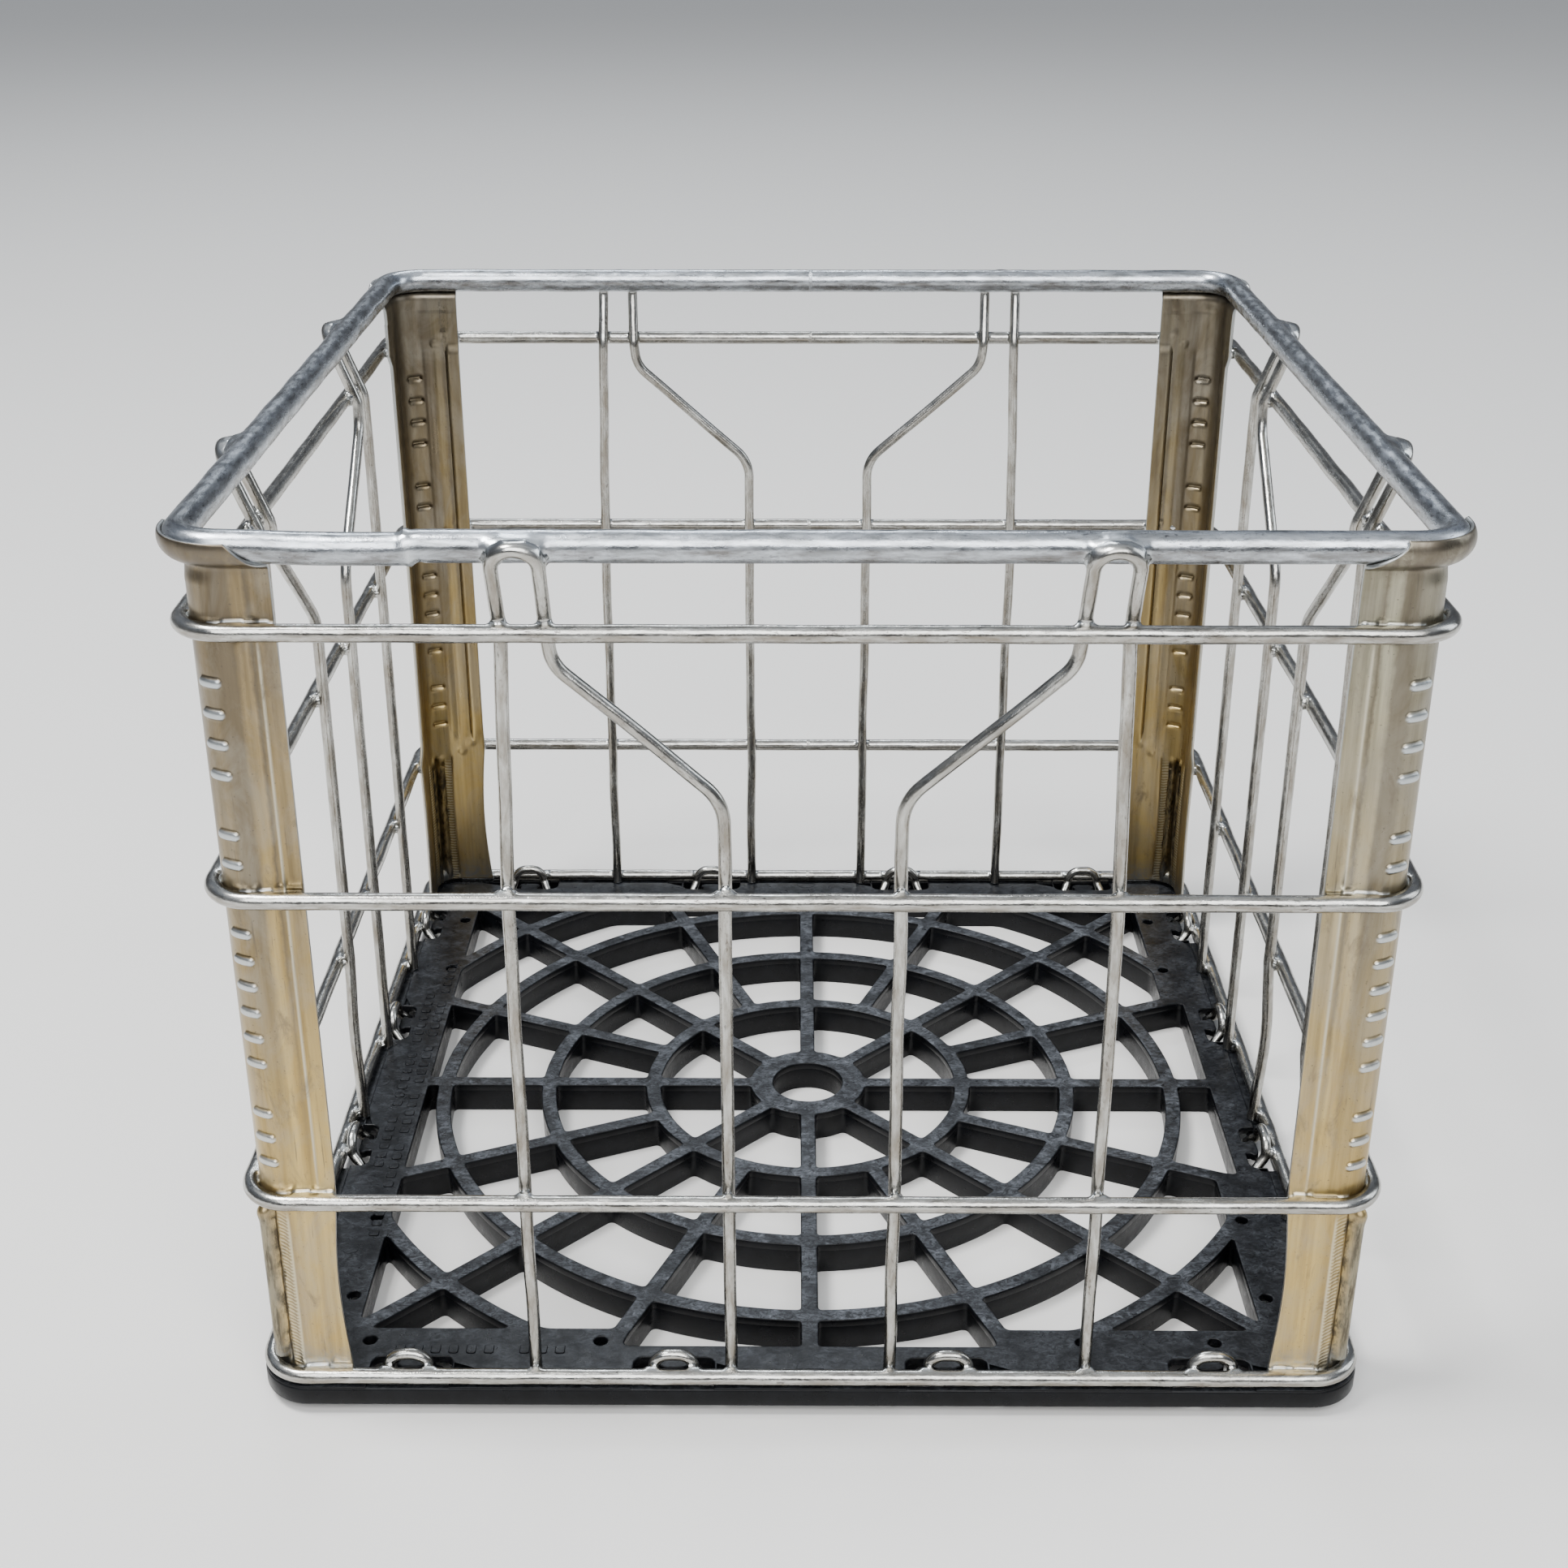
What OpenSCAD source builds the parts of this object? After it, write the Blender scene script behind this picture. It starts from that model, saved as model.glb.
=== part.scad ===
// Wire dairy crate for milk bottles: a rim and four wire rings, eight bent uprights, four formed
// sheet corner posts, and a moulded plastic base grid that sixteen wire staples hold.
// Millimetres, +Z up. The origin is the middle of the footprint, on the surface the crate stands on.

/* [Overall] */
// Outside width and depth over the wire rings
ring_w = 330.2; // [326:0.1:334]
// Height of the base ring's centre above the floor
base_ring_z = 12.4; // [12:0.1:13]
// Height of the lower ring's centre above the base ring
lower_ring_rise = 62.4; // [58:0.1:68]
// Height of the middle ring's centre above the base ring
middle_ring_rise = 159.8; // [154:0.1:166]
// Height of the upper ring's centre above the base ring
upper_ring_rise = 236.0; // [234:0.1:238]
// Height of the rim's centre above the base ring
rim_rise = 258.4; // [256:0.1:261]

/* [Wires and rim] */
// Diameter of the ring wire
ring_d = 4.8; // [4.6:0.1:5]
// Bend radius at a ring's corner, at the middle of the wire
ring_bend_r = 13; // [12:0.5:14]
// Diameter of the rim rod
rim_d = 8.4; // [8:0.1:8.8]
// Bend radius at the rim's corner, at the middle of the rod
rim_bend_r = 13; // [12.5:0.5:14]
// Diameter of the upright wire
upright_d = 3.7; // [3.4:0.1:3.9]
// Diameter of the staple wire
staple_d = 3.4; // [3:0.1:3.6]

/* [Uprights] */
// Distance of the straight outer leg from the middle of the side
outer_leg_u = 82; // [80:0.5:86]
// Distance of the inner leg's upper part from the middle of the side
inner_leg_top_u = 67.6; // [66:0.1:69]
// Distance of the inner leg's lower part from the middle of the side
inner_leg_u = 23.6; // [20:0.1:28]
// Height of the jog's upper bend above the base ring
jog_top_rise = 225; // [222:0.5:227]
// Height of the jog's lower bend above the base ring
jog_bottom_rise = 187.6; // [184:0.1:192]
// Bend radius of the jog
jog_bend_r = 14; // [8:0.5:15]
// Distance of the arch's middle from the middle of the side
arch_u = 74.2; // [74:0.1:74.6]
// Bend radius of the arch, at the middle of the wire
arch_r = 5.8; // [5.4:0.1:6]
// How far the arch's top stands above the rim's centre, at the middle of the wire
arch_rise = 1.1; // [0:0.1:1.5]

/* [Corner posts] */
// Thickness of the post's sheet
sheet_t = 1.2; // [1:0.1:1.4]
// Distance of the flange's free edge from the middle of the side
flange_edge_u = 136.5; // [134:0.5:139]
// Width of the set-back strip along the free edge
strip_w = 4.6; // [3:0.1:6]
// How far that strip is set back
strip_step = 0.9; // [0.6:0.1:1.1]
// Outside radius of the post's corner
post_r = 10; // [9:0.5:11]
// Radius of the corner bead below the lower ring
bead_r = 4.5; // [4:0.1:4.8]

/* [Staples] */
// Distances of the staples from the middle of the side
staple_inner_u = 41; // [40:0.5:42]
staple_outer_u = 120; // [118:0.5:121]
// Half the distance between a staple's legs at the base ring
staple_leg_u = 6; // [5.5:0.1:6.5]
// Half the distance between a staple's cut ends
staple_end_u = 8.4; // [7.5:0.1:9]

/* [Base grid] */
// Height of the plate's top under the base ring's centre
plate_drop = 1.2; // [1:0.1:2]
// Thickness of the plate and of the ledge that the base ring lies on
plate_t = 2.6; // [2:0.1:3]
// Width of a rib
rib_w = 5.4; // [4:0.1:6]
// Radii of the four round ribs; the last one shows only in the corners
round_rib_r = [56.5, 94.5, 132.5, 164]; // [1:0.5:170]
// Radius of the hub
hub_r = 21; // [18:0.5:24]
// Radius of the hub's hole
hub_hole_r = 12.7; // [8:0.1:16]
// Distance of the frame's inner edge from the middle
frame_in = 139; // [137:0.5:141]
// The same in the middle of three sides, where the frame is narrower
frame_in_mid = 147; // [146:0.5:148]
// Radius of the small round holes in the frame
pin_hole_r = 2; // [1:0.1:2.5]

/* [Hidden] */
$fn = 48;

// Gaps that the welds fill
weld_gap = 0.02;
post_gap = 0.1;
rim_gap = 0.05;
arch_stand_off = 1.05;

// Heights above the floor
lower_ring_z = base_ring_z + lower_ring_rise;
middle_ring_z = base_ring_z + middle_ring_rise;
upper_ring_z = base_ring_z + upper_ring_rise;
rim_z = base_ring_z + rim_rise;
plate_z = base_ring_z - plate_drop;
ledge_z = base_ring_z - ring_d / 2 - post_gap;

// Distances from the middle of the crate, outwards over one side
ring_out = ring_w / 2;
ring_mid = ring_out - ring_d / 2;
ring_in = ring_out - ring_d;
rim_mid = ring_out - rim_d / 2;
upright_v = ring_in - upright_d / 2 - weld_gap;
arch_v = ring_out + upright_d / 2 + arch_stand_off;
staple_v = ring_in - staple_d / 2 - weld_gap;
post_out = ring_in - post_gap;
plate_out = ring_in - 2;

// Upright details: where its legs end and where they start to lean outwards, and its smaller bends
leg_end_z = base_ring_z - 0.6;
lean_z = upper_ring_z - 1.5;
outer_lean_r = 10;
inner_lean_r = 6;
arch_corner_r = arch_r - 0.3;
jog_top_r = jog_bend_r - 4;
jog_lean = 0.4;

// Staple details: heights of its arch, of the kink in its legs and of its ends, and its bends
staple_top_z = base_ring_z + 4.9;
staple_kink_z = base_ring_z - 1;
staple_end_z = base_ring_z - 4.6;
staple_lean = 3.6;
staple_arch_r = 4.2;
staple_kink_r = 2;

// Corner post details: its foot, the ends of its bead, and its collar round the rim
post_foot_z = base_ring_z + 0.2;
post_top_z = rim_z - rim_d / 2 - rim_gap;
bead_end_gap = ring_d / 2 + 0.6;
bead_sink = 0.7;
collar_from = -112;
collar_to = 10;
collar_run = rim_mid - rim_bend_r - flange_edge_u - 1;

// Base grid details
skirt_z = base_ring_z - 9;
skirt_t = 2.5;
frame_wall_t = 3;
narrow_u = 57;
slot_len = 24.4;
slot_in = 152.3;
slot_out = plate_out + 1.5;
slot_r = 3;
tongue_w = 7;
tongue_end = 157;
pin_hole_v = 143.5;
pin_hole_u = [83, 123.5];
front_pin_hole_v = 144.9;
front_pin_hole_u = [-134.5, -64, 83, 123.5];
spoke_reach = 240;
spoke_turn = 22.5;

// Overlap of a wire's straight lengths and bends
lap = 0.1;
skim = 0.02;

// Turns about +Z that take the front side to the front, right, rear and left side
FRONT = 0;
RIGHT = 90;
REAR = 180;
LEFT = 270;

zinc = [0.72, 0.74, 0.75];
dull_zinc = [0.66, 0.63, 0.56];
black_plastic = [0.06, 0.065, 0.075];

function unit(v) = v / norm(v);

// Angle between two directions
function turn(a, b) = acos(max(-1, min(1, unit(a) * unit(b))));

// Length that a bend of radius r takes from each side of a corner
function set_back(r, angle) = r * tan(angle / 2);

// A straight wire from a to b
module straight(a, b, r) {
    d = b - a;
    translate(a)
        rotate([0, acos(d.z / norm(d)), atan2(d.y, d.x)])
            cylinder(h = norm(d), r = r);
}

// A bent wire round the corner at p, arriving along d1 and leaving along d2
module elbow(p, d1, d2, bend_r, r) {
    angle = turn(d1, d2);
    start = p - unit(d1) * set_back(bend_r, angle);
    side = unit(d2 - unit(d1) * (d2 * unit(d1)));
    centre = start + side * bend_r;
    x = -side;
    y = unit(d1);
    z = cross(x, y);
    multmatrix([
        [x.x, y.x, z.x, centre.x],
        [x.y, y.y, z.y, centre.y],
        [x.z, y.z, z.z, centre.z],
        [0, 0, 0, 1]
    ])
        rotate_extrude(angle = angle)
            translate([bend_r, 0])
                circle(r = r);
}

// A wire of radius r along points, with a bend radius for each inner point. The straight lengths run
// lap into the bends, which are thinner by the small amount skim, so that their surfaces never
// coincide.
module bent_wire(points, bends, r) {
    last = len(points) - 1;
    cuts = [
        for (i = [0:last])
            i == 0 || i == last ? 0
            : set_back(bends[i - 1], turn(points[i] - points[i - 1], points[i + 1] - points[i]))
    ];
    for (i = [0:last - 1]) {
        d = unit(points[i + 1] - points[i]);
        from = i == 0 ? 0 : cuts[i] - lap;
        to = i == last - 1 ? 0 : cuts[i + 1] - lap;
        straight(points[i] + d * from, points[i + 1] - d * to, r);
    }
    for (i = [1:last - 1])
        elbow(points[i], points[i] - points[i - 1], points[i + 1] - points[i], bends[i - 1], r - skim);
}

// A closed square loop of wire, its middle line at distance mid from the axis
module square_loop(mid, bend_r, r, z) {
    run = 2 * (mid - bend_r);
    for (side = [0:3])
        rotate([0, 0, 90 * side]) {
            translate([-run / 2, -mid, z])
                rotate([0, 90, 0])
                    cylinder(h = run, r = r);
            translate([run / 2, -run / 2, z])
                rotate([0, 0, -90])
                    rotate_extrude(angle = 90)
                        translate([bend_r, 0])
                            circle(r = r);
        }
}

// A square of half width half with round corners of radius r
module round_square(half, r) {
    square([2 * half, 2 * (half - r)], center = true);
    square([2 * (half - r), 2 * half], center = true);
    for (x = [-1, 1])
        for (y = [-1, 1])
            translate([x * (half - r), y * (half - r)])
                circle(r = r);
}

module top_rim() {
    color(zinc)
        square_loop(rim_mid, rim_bend_r, rim_d / 2, rim_z);
}

module ring(z) {
    color(zinc)
        square_loop(ring_mid, ring_bend_r, ring_d / 2, z);
}

// A hairpin upright on the front side: its arch is welded on the outside of the rim, its two legs
// run down inside the rings, and the inner leg jogs towards the middle. hand is -1 for the left one.
module upright(side, hand) {
    top_z = rim_z + arch_rise;
    points = [
        [hand * outer_leg_u, -upright_v, leg_end_z],
        [hand * outer_leg_u, -upright_v, lean_z],
        [hand * (arch_u + arch_r), -arch_v, top_z],
        [hand * (arch_u - arch_r), -arch_v, top_z],
        [hand * inner_leg_top_u, -upright_v, lean_z],
        [hand * (inner_leg_top_u - jog_lean), -upright_v, base_ring_z + jog_top_rise],
        [hand * inner_leg_u, -upright_v, base_ring_z + jog_bottom_rise],
        [hand * inner_leg_u, -upright_v, leg_end_z]
    ];
    bends = [outer_lean_r, arch_corner_r, arch_corner_r, inner_lean_r, jog_top_r, jog_bend_r];
    color(zinc)
        rotate([0, 0, side])
            bent_wire(points, bends, upright_d / 2);
}

// A staple on the front side: an arch against the inside of the base ring, whose splayed legs
// reach into a slot of the base grid
module staple(side, u) {
    end_v = staple_v - staple_lean;
    points = [
        [u - staple_end_u, -end_v, staple_end_z],
        [u - staple_leg_u, -staple_v, staple_kink_z],
        [u - staple_leg_u, -staple_v, staple_top_z],
        [u + staple_leg_u, -staple_v, staple_top_z],
        [u + staple_leg_u, -staple_v, staple_kink_z],
        [u + staple_end_u, -end_v, staple_end_z]
    ];
    bends = [staple_kink_r, staple_arch_r, staple_arch_r, staple_kink_r];
    color(zinc)
        rotate([0, 0, side])
            bent_wire(points, bends, staple_d / 2);
}

// Section of a post between the rings: an angle with a round corner in the (+, +) corner and a
// set-back strip along each free edge
module post_section() {
    strip_u = flange_edge_u + strip_w;
    intersection() {
        difference() {
            round_square(post_out, post_r);
            round_square(post_out - sheet_t, post_r - sheet_t);
        }
        translate([strip_u, strip_u])
            square(50);
    }
    for (flip = [0, 1])
        mirror([flip, -flip]) {
            translate([flange_edge_u, post_out - strip_step - sheet_t])
                square([strip_w + sheet_t, sheet_t]);
            translate([strip_u, post_out - strip_step - sheet_t])
                square([sheet_t, strip_step + sheet_t]);
        }
}

// Section of the half-round bead on the corner, below the lower ring
module bead_section() {
    corner = post_out - post_r * (1 - sqrt(0.5)) - bead_sink;
    intersection() {
        translate([corner, corner])
            difference() {
                circle(r = bead_r);
                circle(r = bead_r - sheet_t);
            }
        difference() {
            square(200);
            round_square(post_out - sheet_t / 2, post_r - sheet_t / 2);
        }
    }
}

// Section of the collar that the post's top curls round the underside and outside of the rim,
// seen along the rim, with the rim's centre at the origin and outwards to +X
module collar_section() {
    reach = 2 * rim_d;
    intersection() {
        difference() {
            circle(r = rim_d / 2 + rim_gap + sheet_t);
            circle(r = rim_d / 2 + rim_gap);
        }
        polygon([
            [0, 0],
            [reach * cos(collar_from), reach * sin(collar_from)],
            [reach, -reach],
            [reach * cos(collar_to), reach * sin(collar_to)]
        ]);
    }
}

// A corner post, modelled in the (+, +) corner and turned into place
module corner_post(turn_to) {
    color(dull_zinc)
        rotate([0, 0, turn_to]) {
            translate([0, 0, post_foot_z])
                linear_extrude(post_top_z - post_foot_z)
                    post_section();
            translate([0, 0, base_ring_z + bead_end_gap])
                linear_extrude(lower_ring_rise - 2 * bead_end_gap)
                    bead_section();
            translate([rim_mid - rim_bend_r, rim_mid - rim_bend_r, rim_z]) {
                rotate_extrude(angle = 90)
                    translate([rim_bend_r, 0])
                        collar_section();
                translate([rim_bend_r, 0, 0])
                    rotate([90, 0, 0])
                        linear_extrude(collar_run)
                            collar_section();
                translate([-collar_run, rim_bend_r, 0])
                    rotate([90, 0, 90])
                        linear_extrude(collar_run)
                            collar_section();
            }
        }
}

// Outline inside the frame: a square, widened in the middle of the front, right and rear sides.
// grow makes it larger all round.
module frame_opening(grow = 0) {
    square(2 * (frame_in + grow), center = true);
    for (side = [FRONT, RIGHT, REAR])
        rotate(side)
            translate([-narrow_u - grow, -frame_in_mid - grow])
                square([2 * (narrow_u + grow), frame_in_mid]);
}

// Sixteen straight ribs: every second one starts at the hub, the others at the first round rib
module spoke_outline() {
    for (i = [0:15]) {
        start = i % 2 == 0 ? hub_r - 2 : round_rib_r[0];
        rotate(spoke_turn * i)
            translate([start, -rib_w / 2])
                square([spoke_reach - start, rib_w]);
    }
}

// Round ribs and the hub
module round_rib_outline() {
    for (r = round_rib_r)
        difference() {
            circle(r = r + rib_w / 2, $fn = 96);
            circle(r = r - rib_w / 2, $fn = 96);
        }
    circle(r = hub_r);
}

// Slots for the two legs of every staple, with the tongue between them left standing
module staple_slots() {
    for (side = [FRONT, RIGHT, REAR, LEFT])
        rotate(side)
            for (u = [-staple_outer_u, -staple_inner_u, staple_inner_u, staple_outer_u])
                difference() {
                    union() {
                        translate([u - slot_len / 2, -slot_out])
                            square([slot_len, slot_out - slot_in - slot_r]);
                        translate([u - slot_len / 2 + slot_r, -slot_in - slot_r - 1])
                            square([slot_len - 2 * slot_r, slot_r + 1]);
                        for (end = [-1, 1])
                            translate([u + end * (slot_len / 2 - slot_r), -slot_in - slot_r])
                                circle(r = slot_r);
                    }
                    translate([u - tongue_w / 2, -tongue_end])
                        square([tongue_w, tongue_end - slot_in + 1]);
                }
}

module pin_holes() {
    for (side = [RIGHT, REAR, LEFT])
        rotate(side)
            for (u = pin_hole_u)
                for (hand = [-1, 1])
                    translate([hand * u, -pin_hole_v])
                        circle(r = pin_hole_r);
    for (u = front_pin_hole_u)
        translate([u, -front_pin_hole_v])
            circle(r = pin_hole_r);
}

// The moulded base: a frame with slots, a web of round and straight ribs with a hub, a ledge under
// the base ring, a skirt round it, and the straight ribs running on under the frame
module base_grid() {
    corner_r = ring_bend_r + ring_d / 2;
    color(black_plastic)
        difference() {
            union() {
                // Ribs and hub
                linear_extrude(plate_z)
                    intersection() {
                        union() {
                            spoke_outline();
                            round_rib_outline();
                        }
                        frame_opening(1);
                    }
                // Wall round the opening
                linear_extrude(plate_z)
                    difference() {
                        frame_opening(frame_wall_t);
                        frame_opening();
                    }
                // Plate
                translate([0, 0, plate_z - plate_t])
                    linear_extrude(plate_t)
                        difference() {
                            round_square(plate_out, post_r - 2);
                            frame_opening();
                            staple_slots();
                        }
                // Ledge
                translate([0, 0, ledge_z - plate_t])
                    linear_extrude(plate_t)
                        difference() {
                            round_square(ring_out, corner_r);
                            round_square(plate_out - skirt_t, post_r - 2);
                            staple_slots();
                        }
                // Skirt
                translate([0, 0, skirt_z])
                    linear_extrude(ledge_z - skirt_z)
                        difference() {
                            round_square(ring_out, corner_r);
                            round_square(ring_out - skirt_t, corner_r - skirt_t);
                        }
                // Straight ribs under the frame
                translate([0, 0, skirt_z])
                    linear_extrude(plate_z - plate_t - skirt_z + 0.5)
                        difference() {
                            intersection() {
                                spoke_outline();
                                round_square(ring_out - skirt_t + 0.5, corner_r - skirt_t);
                            }
                            frame_opening(frame_wall_t - 0.5);
                        }
            }
            // Hub hole and pin holes
            translate([0, 0, -1])
                cylinder(h = base_ring_z + 2, r = hub_hole_r);
            translate([0, 0, -1])
                linear_extrude(base_ring_z + 2)
                    pin_holes();
        }
}

top_rim();
ring(upper_ring_z);  // upper_ring
ring(middle_ring_z);  // middle_ring
ring(lower_ring_z);  // lower_ring
ring(base_ring_z);  // base_ring
corner_post(0);  // corner_post_rear_right
corner_post(90);  // corner_post_rear_left
corner_post(180);  // corner_post_front_left
corner_post(270);  // corner_post_front_right
upright(FRONT, -1);  // upright_front_left
upright(FRONT, 1);  // upright_front_right
upright(RIGHT, -1);  // upright_right_front
upright(RIGHT, 1);  // upright_right_rear
upright(REAR, -1);  // upright_rear_right
upright(REAR, 1);  // upright_rear_left
upright(LEFT, -1);  // upright_left_rear
upright(LEFT, 1);  // upright_left_front
staple(FRONT, -staple_outer_u);  // staple_front_1
staple(FRONT, -staple_inner_u);  // staple_front_2
staple(FRONT, staple_inner_u);  // staple_front_3
staple(FRONT, staple_outer_u);  // staple_front_4
staple(RIGHT, -staple_outer_u);  // staple_right_1
staple(RIGHT, -staple_inner_u);  // staple_right_2
staple(RIGHT, staple_inner_u);  // staple_right_3
staple(RIGHT, staple_outer_u);  // staple_right_4
staple(REAR, -staple_outer_u);  // staple_rear_1
staple(REAR, -staple_inner_u);  // staple_rear_2
staple(REAR, staple_inner_u);  // staple_rear_3
staple(REAR, staple_outer_u);  // staple_rear_4
staple(LEFT, -staple_outer_u);  // staple_left_1
staple(LEFT, -staple_inner_u);  // staple_left_2
staple(LEFT, staple_inner_u);  // staple_left_3
staple(LEFT, staple_outer_u);  // staple_left_4
base_grid();
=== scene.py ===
import math

import bmesh
import bpy
import numpy as np
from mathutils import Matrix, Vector
from mathutils.geometry import delaunay_2d_cdt


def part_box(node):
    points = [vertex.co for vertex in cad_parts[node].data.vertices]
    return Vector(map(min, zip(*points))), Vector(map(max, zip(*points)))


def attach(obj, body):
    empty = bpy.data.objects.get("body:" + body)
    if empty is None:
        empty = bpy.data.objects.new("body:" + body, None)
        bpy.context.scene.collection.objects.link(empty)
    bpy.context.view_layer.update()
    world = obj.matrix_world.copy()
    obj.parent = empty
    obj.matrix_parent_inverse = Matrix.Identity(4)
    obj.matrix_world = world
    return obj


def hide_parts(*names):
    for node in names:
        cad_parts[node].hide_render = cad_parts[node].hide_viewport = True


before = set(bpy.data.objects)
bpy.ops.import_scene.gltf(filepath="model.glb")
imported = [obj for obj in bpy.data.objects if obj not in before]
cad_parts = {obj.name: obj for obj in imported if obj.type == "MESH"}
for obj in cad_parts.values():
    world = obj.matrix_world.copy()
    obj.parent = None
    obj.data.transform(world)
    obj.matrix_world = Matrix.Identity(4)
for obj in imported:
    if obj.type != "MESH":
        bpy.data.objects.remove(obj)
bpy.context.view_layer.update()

# Lengths are in millimetres in the CAD frame, and add_mesh() turns them into metres. On each side
# of the crate u runs along the side, v outwards from the middle, and z up.
MM = 0.001
SEED = 20


def cad_box(node):
    """Lowest and highest corner of a CAD node, in millimetres."""
    low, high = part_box(node)
    return np.array(low) / MM, np.array(high) / MM


# ---------------------------------------------------------------- sizes taken from the CAD nodes

rim_low, rim_high = cad_box("top_rim")
RIM_R = (rim_high[2] - rim_low[2]) / 2
RIM_Z = (rim_high[2] + rim_low[2]) / 2
RIM_MID = rim_high[0] - RIM_R

RING_NODES = ["upper_ring", "middle_ring", "lower_ring", "base_ring"]
RING_Z = {name: sum(cad_box(name))[2] / 2 for name in RING_NODES}
UPPER_Z, MIDDLE_Z, LOWER_Z, BASE_Z = RING_Z.values()
ring_low, ring_high = cad_box("upper_ring")
RING_R = (ring_high[2] - ring_low[2]) / 2
RING_OUT = ring_high[0]
RING_MID = RING_OUT - RING_R

leg_low, leg_high = cad_box("upright_front_right")
WIRE_R = 1.85
LEG_V = -leg_high[1] + WIRE_R
ARCH_V = -leg_low[1] - WIRE_R
ARCH_Z = leg_high[2] - WIRE_R
LEG_FOOT_Z = leg_low[2]
INNER_U = leg_low[0] + WIRE_R
OUTER_U = leg_high[0] - WIRE_R

staple_low, staple_high = cad_box("staple_front_3")
STAPLE_R = 1.7
STAPLE_V = -staple_low[1] - STAPLE_R
STAPLE_TOP_Z = staple_high[2] - STAPLE_R
STAPLE_U = [sum(cad_box(f"staple_front_{i}"))[0] / 2 for i in (1, 2, 3, 4)]

FLANGE_U, _, POST_FOOT_Z = cad_box("corner_post_rear_right")[0]
POST_OUT = RING_OUT - 2 * RING_R - 0.1

PLATE_Z = cad_box("base_grid")[1][2]

# ---------------------------------------------------------------- sizes the boxes don't give

BEND_R = 13.0  # corner bends of the rim and the rings, at the middle of the wire
INNER_TOP_U = 67.6  # the inner leg above its jog
JOG_TOP_Z = BASE_Z + 225
JOG_BOTTOM_Z = BASE_Z + 187.6
ARCH_U = 74.2
ARCH_R = 5.8
SHEET_T = 1.2
POST_R = 10.0  # outside radius of a post's corner

SIDES = {"front": 0, "right": 90, "rear": 180, "left": 270}


def turned(points, degrees):
    """Points turned about +Z, as from the front side to another side."""
    a = math.radians(degrees)
    turn = np.array([[math.cos(a), math.sin(a), 0], [-math.sin(a), math.cos(a), 0], [0, 0, 1]])
    return np.asarray(points, float) @ turn


def on_side(side, u, v, z):
    return turned((u, -v, z), SIDES[side])


def unit(v):
    return v / np.maximum(np.linalg.norm(v, axis=-1, keepdims=True), 1e-12)


def smooth(x):
    x = np.clip(x, 0, 1)
    return x * x * (3 - 2 * x)


def bump(x, width):
    return np.exp(-(x / width) ** 2)


# ---------------------------------------------------------------- meshes

def add_mesh(name, points, faces, zinc=None, flow=None, sharp=None):
    """A mesh object from points in millimetres.

    zinc is how pale each point is painted: weld zinc, and on the posts' raised bars a painted highlight. flow
    is its place along and round the wire."""
    mesh = bpy.data.meshes.new(name)
    mesh.from_pydata((np.asarray(points, float) * MM).tolist(), [], faces)
    mesh.validate()
    mesh.shade_smooth()
    if sharp is not None:
        mesh.set_sharp_from_angle(angle=math.radians(sharp))
    if zinc is not None:
        attribute = mesh.attributes.new("zinc", "FLOAT", "POINT")
        attribute.data.foreach_set("value", np.asarray(zinc, np.float32))
    if flow is not None:
        attribute = mesh.attributes.new("flow", "FLOAT_VECTOR", "POINT")
        attribute.data.foreach_set("vector", (np.asarray(flow, np.float32) * MM).ravel())
    obj = bpy.data.objects.new(name, mesh)
    bpy.context.scene.collection.objects.link(obj)
    return obj


def grid_faces(rows, columns, wrap_rows=False, wrap_columns=True):
    """Quads between rows of points."""
    faces = []
    for r in range(rows if wrap_rows else rows - 1):
        a, b = r * columns, ((r + 1) % rows) * columns
        for c in range(columns if wrap_columns else columns - 1):
            d = (c + 1) % columns
            faces.append((a + c, a + d, b + d, b + c))
    return faces


def outward_faces(obj):
    """Turns all faces of a closed mesh outwards."""
    bm = bmesh.new()
    bm.from_mesh(obj.data)
    bmesh.ops.recalc_face_normals(bm, faces=bm.faces)
    bm.to_mesh(obj.data)
    bm.free()
    return obj


def piece(obj, node):
    """Puts a finished piece on the crate in place of its CAD node."""
    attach(obj, "root")
    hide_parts(node)


# ---------------------------------------------------------------- wires

def bent_path(points, bends, step=0.3):
    """Dense points along straight lengths that bends of the given radii join."""
    points = [np.array(p, float) for p in points]
    path = [points[0]]
    for before, corner, after, bend in zip(points, points[1:], points[2:], bends):
        a, b = unit(corner - before), unit(after - corner)
        angle = math.acos(min(1.0, max(-1.0, float(a @ b))))
        start = corner - a * bend * math.tan(angle / 2)
        side = unit(b - a * (b @ a))
        for t in np.linspace(0, angle, max(3, int(angle * bend / step))):
            path.append(start + side * bend * (1 - math.cos(t)) + a * bend * math.sin(t))
    path.append(points[-1])
    return np.array(path)


def square_path(mid, z):
    """Closed path round the crate with rounded corners. It starts in the middle of the rear."""
    corners = [(0, mid, z), (-mid, mid, z), (-mid, -mid, z), (mid, -mid, z), (mid, mid, z), (0, mid, z)]
    return bent_path(corners, [BEND_R] * 4)


def lengths_along(path):
    return np.concatenate([[0], np.cumsum(np.linalg.norm(np.diff(path, axis=0), axis=1))])


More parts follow.
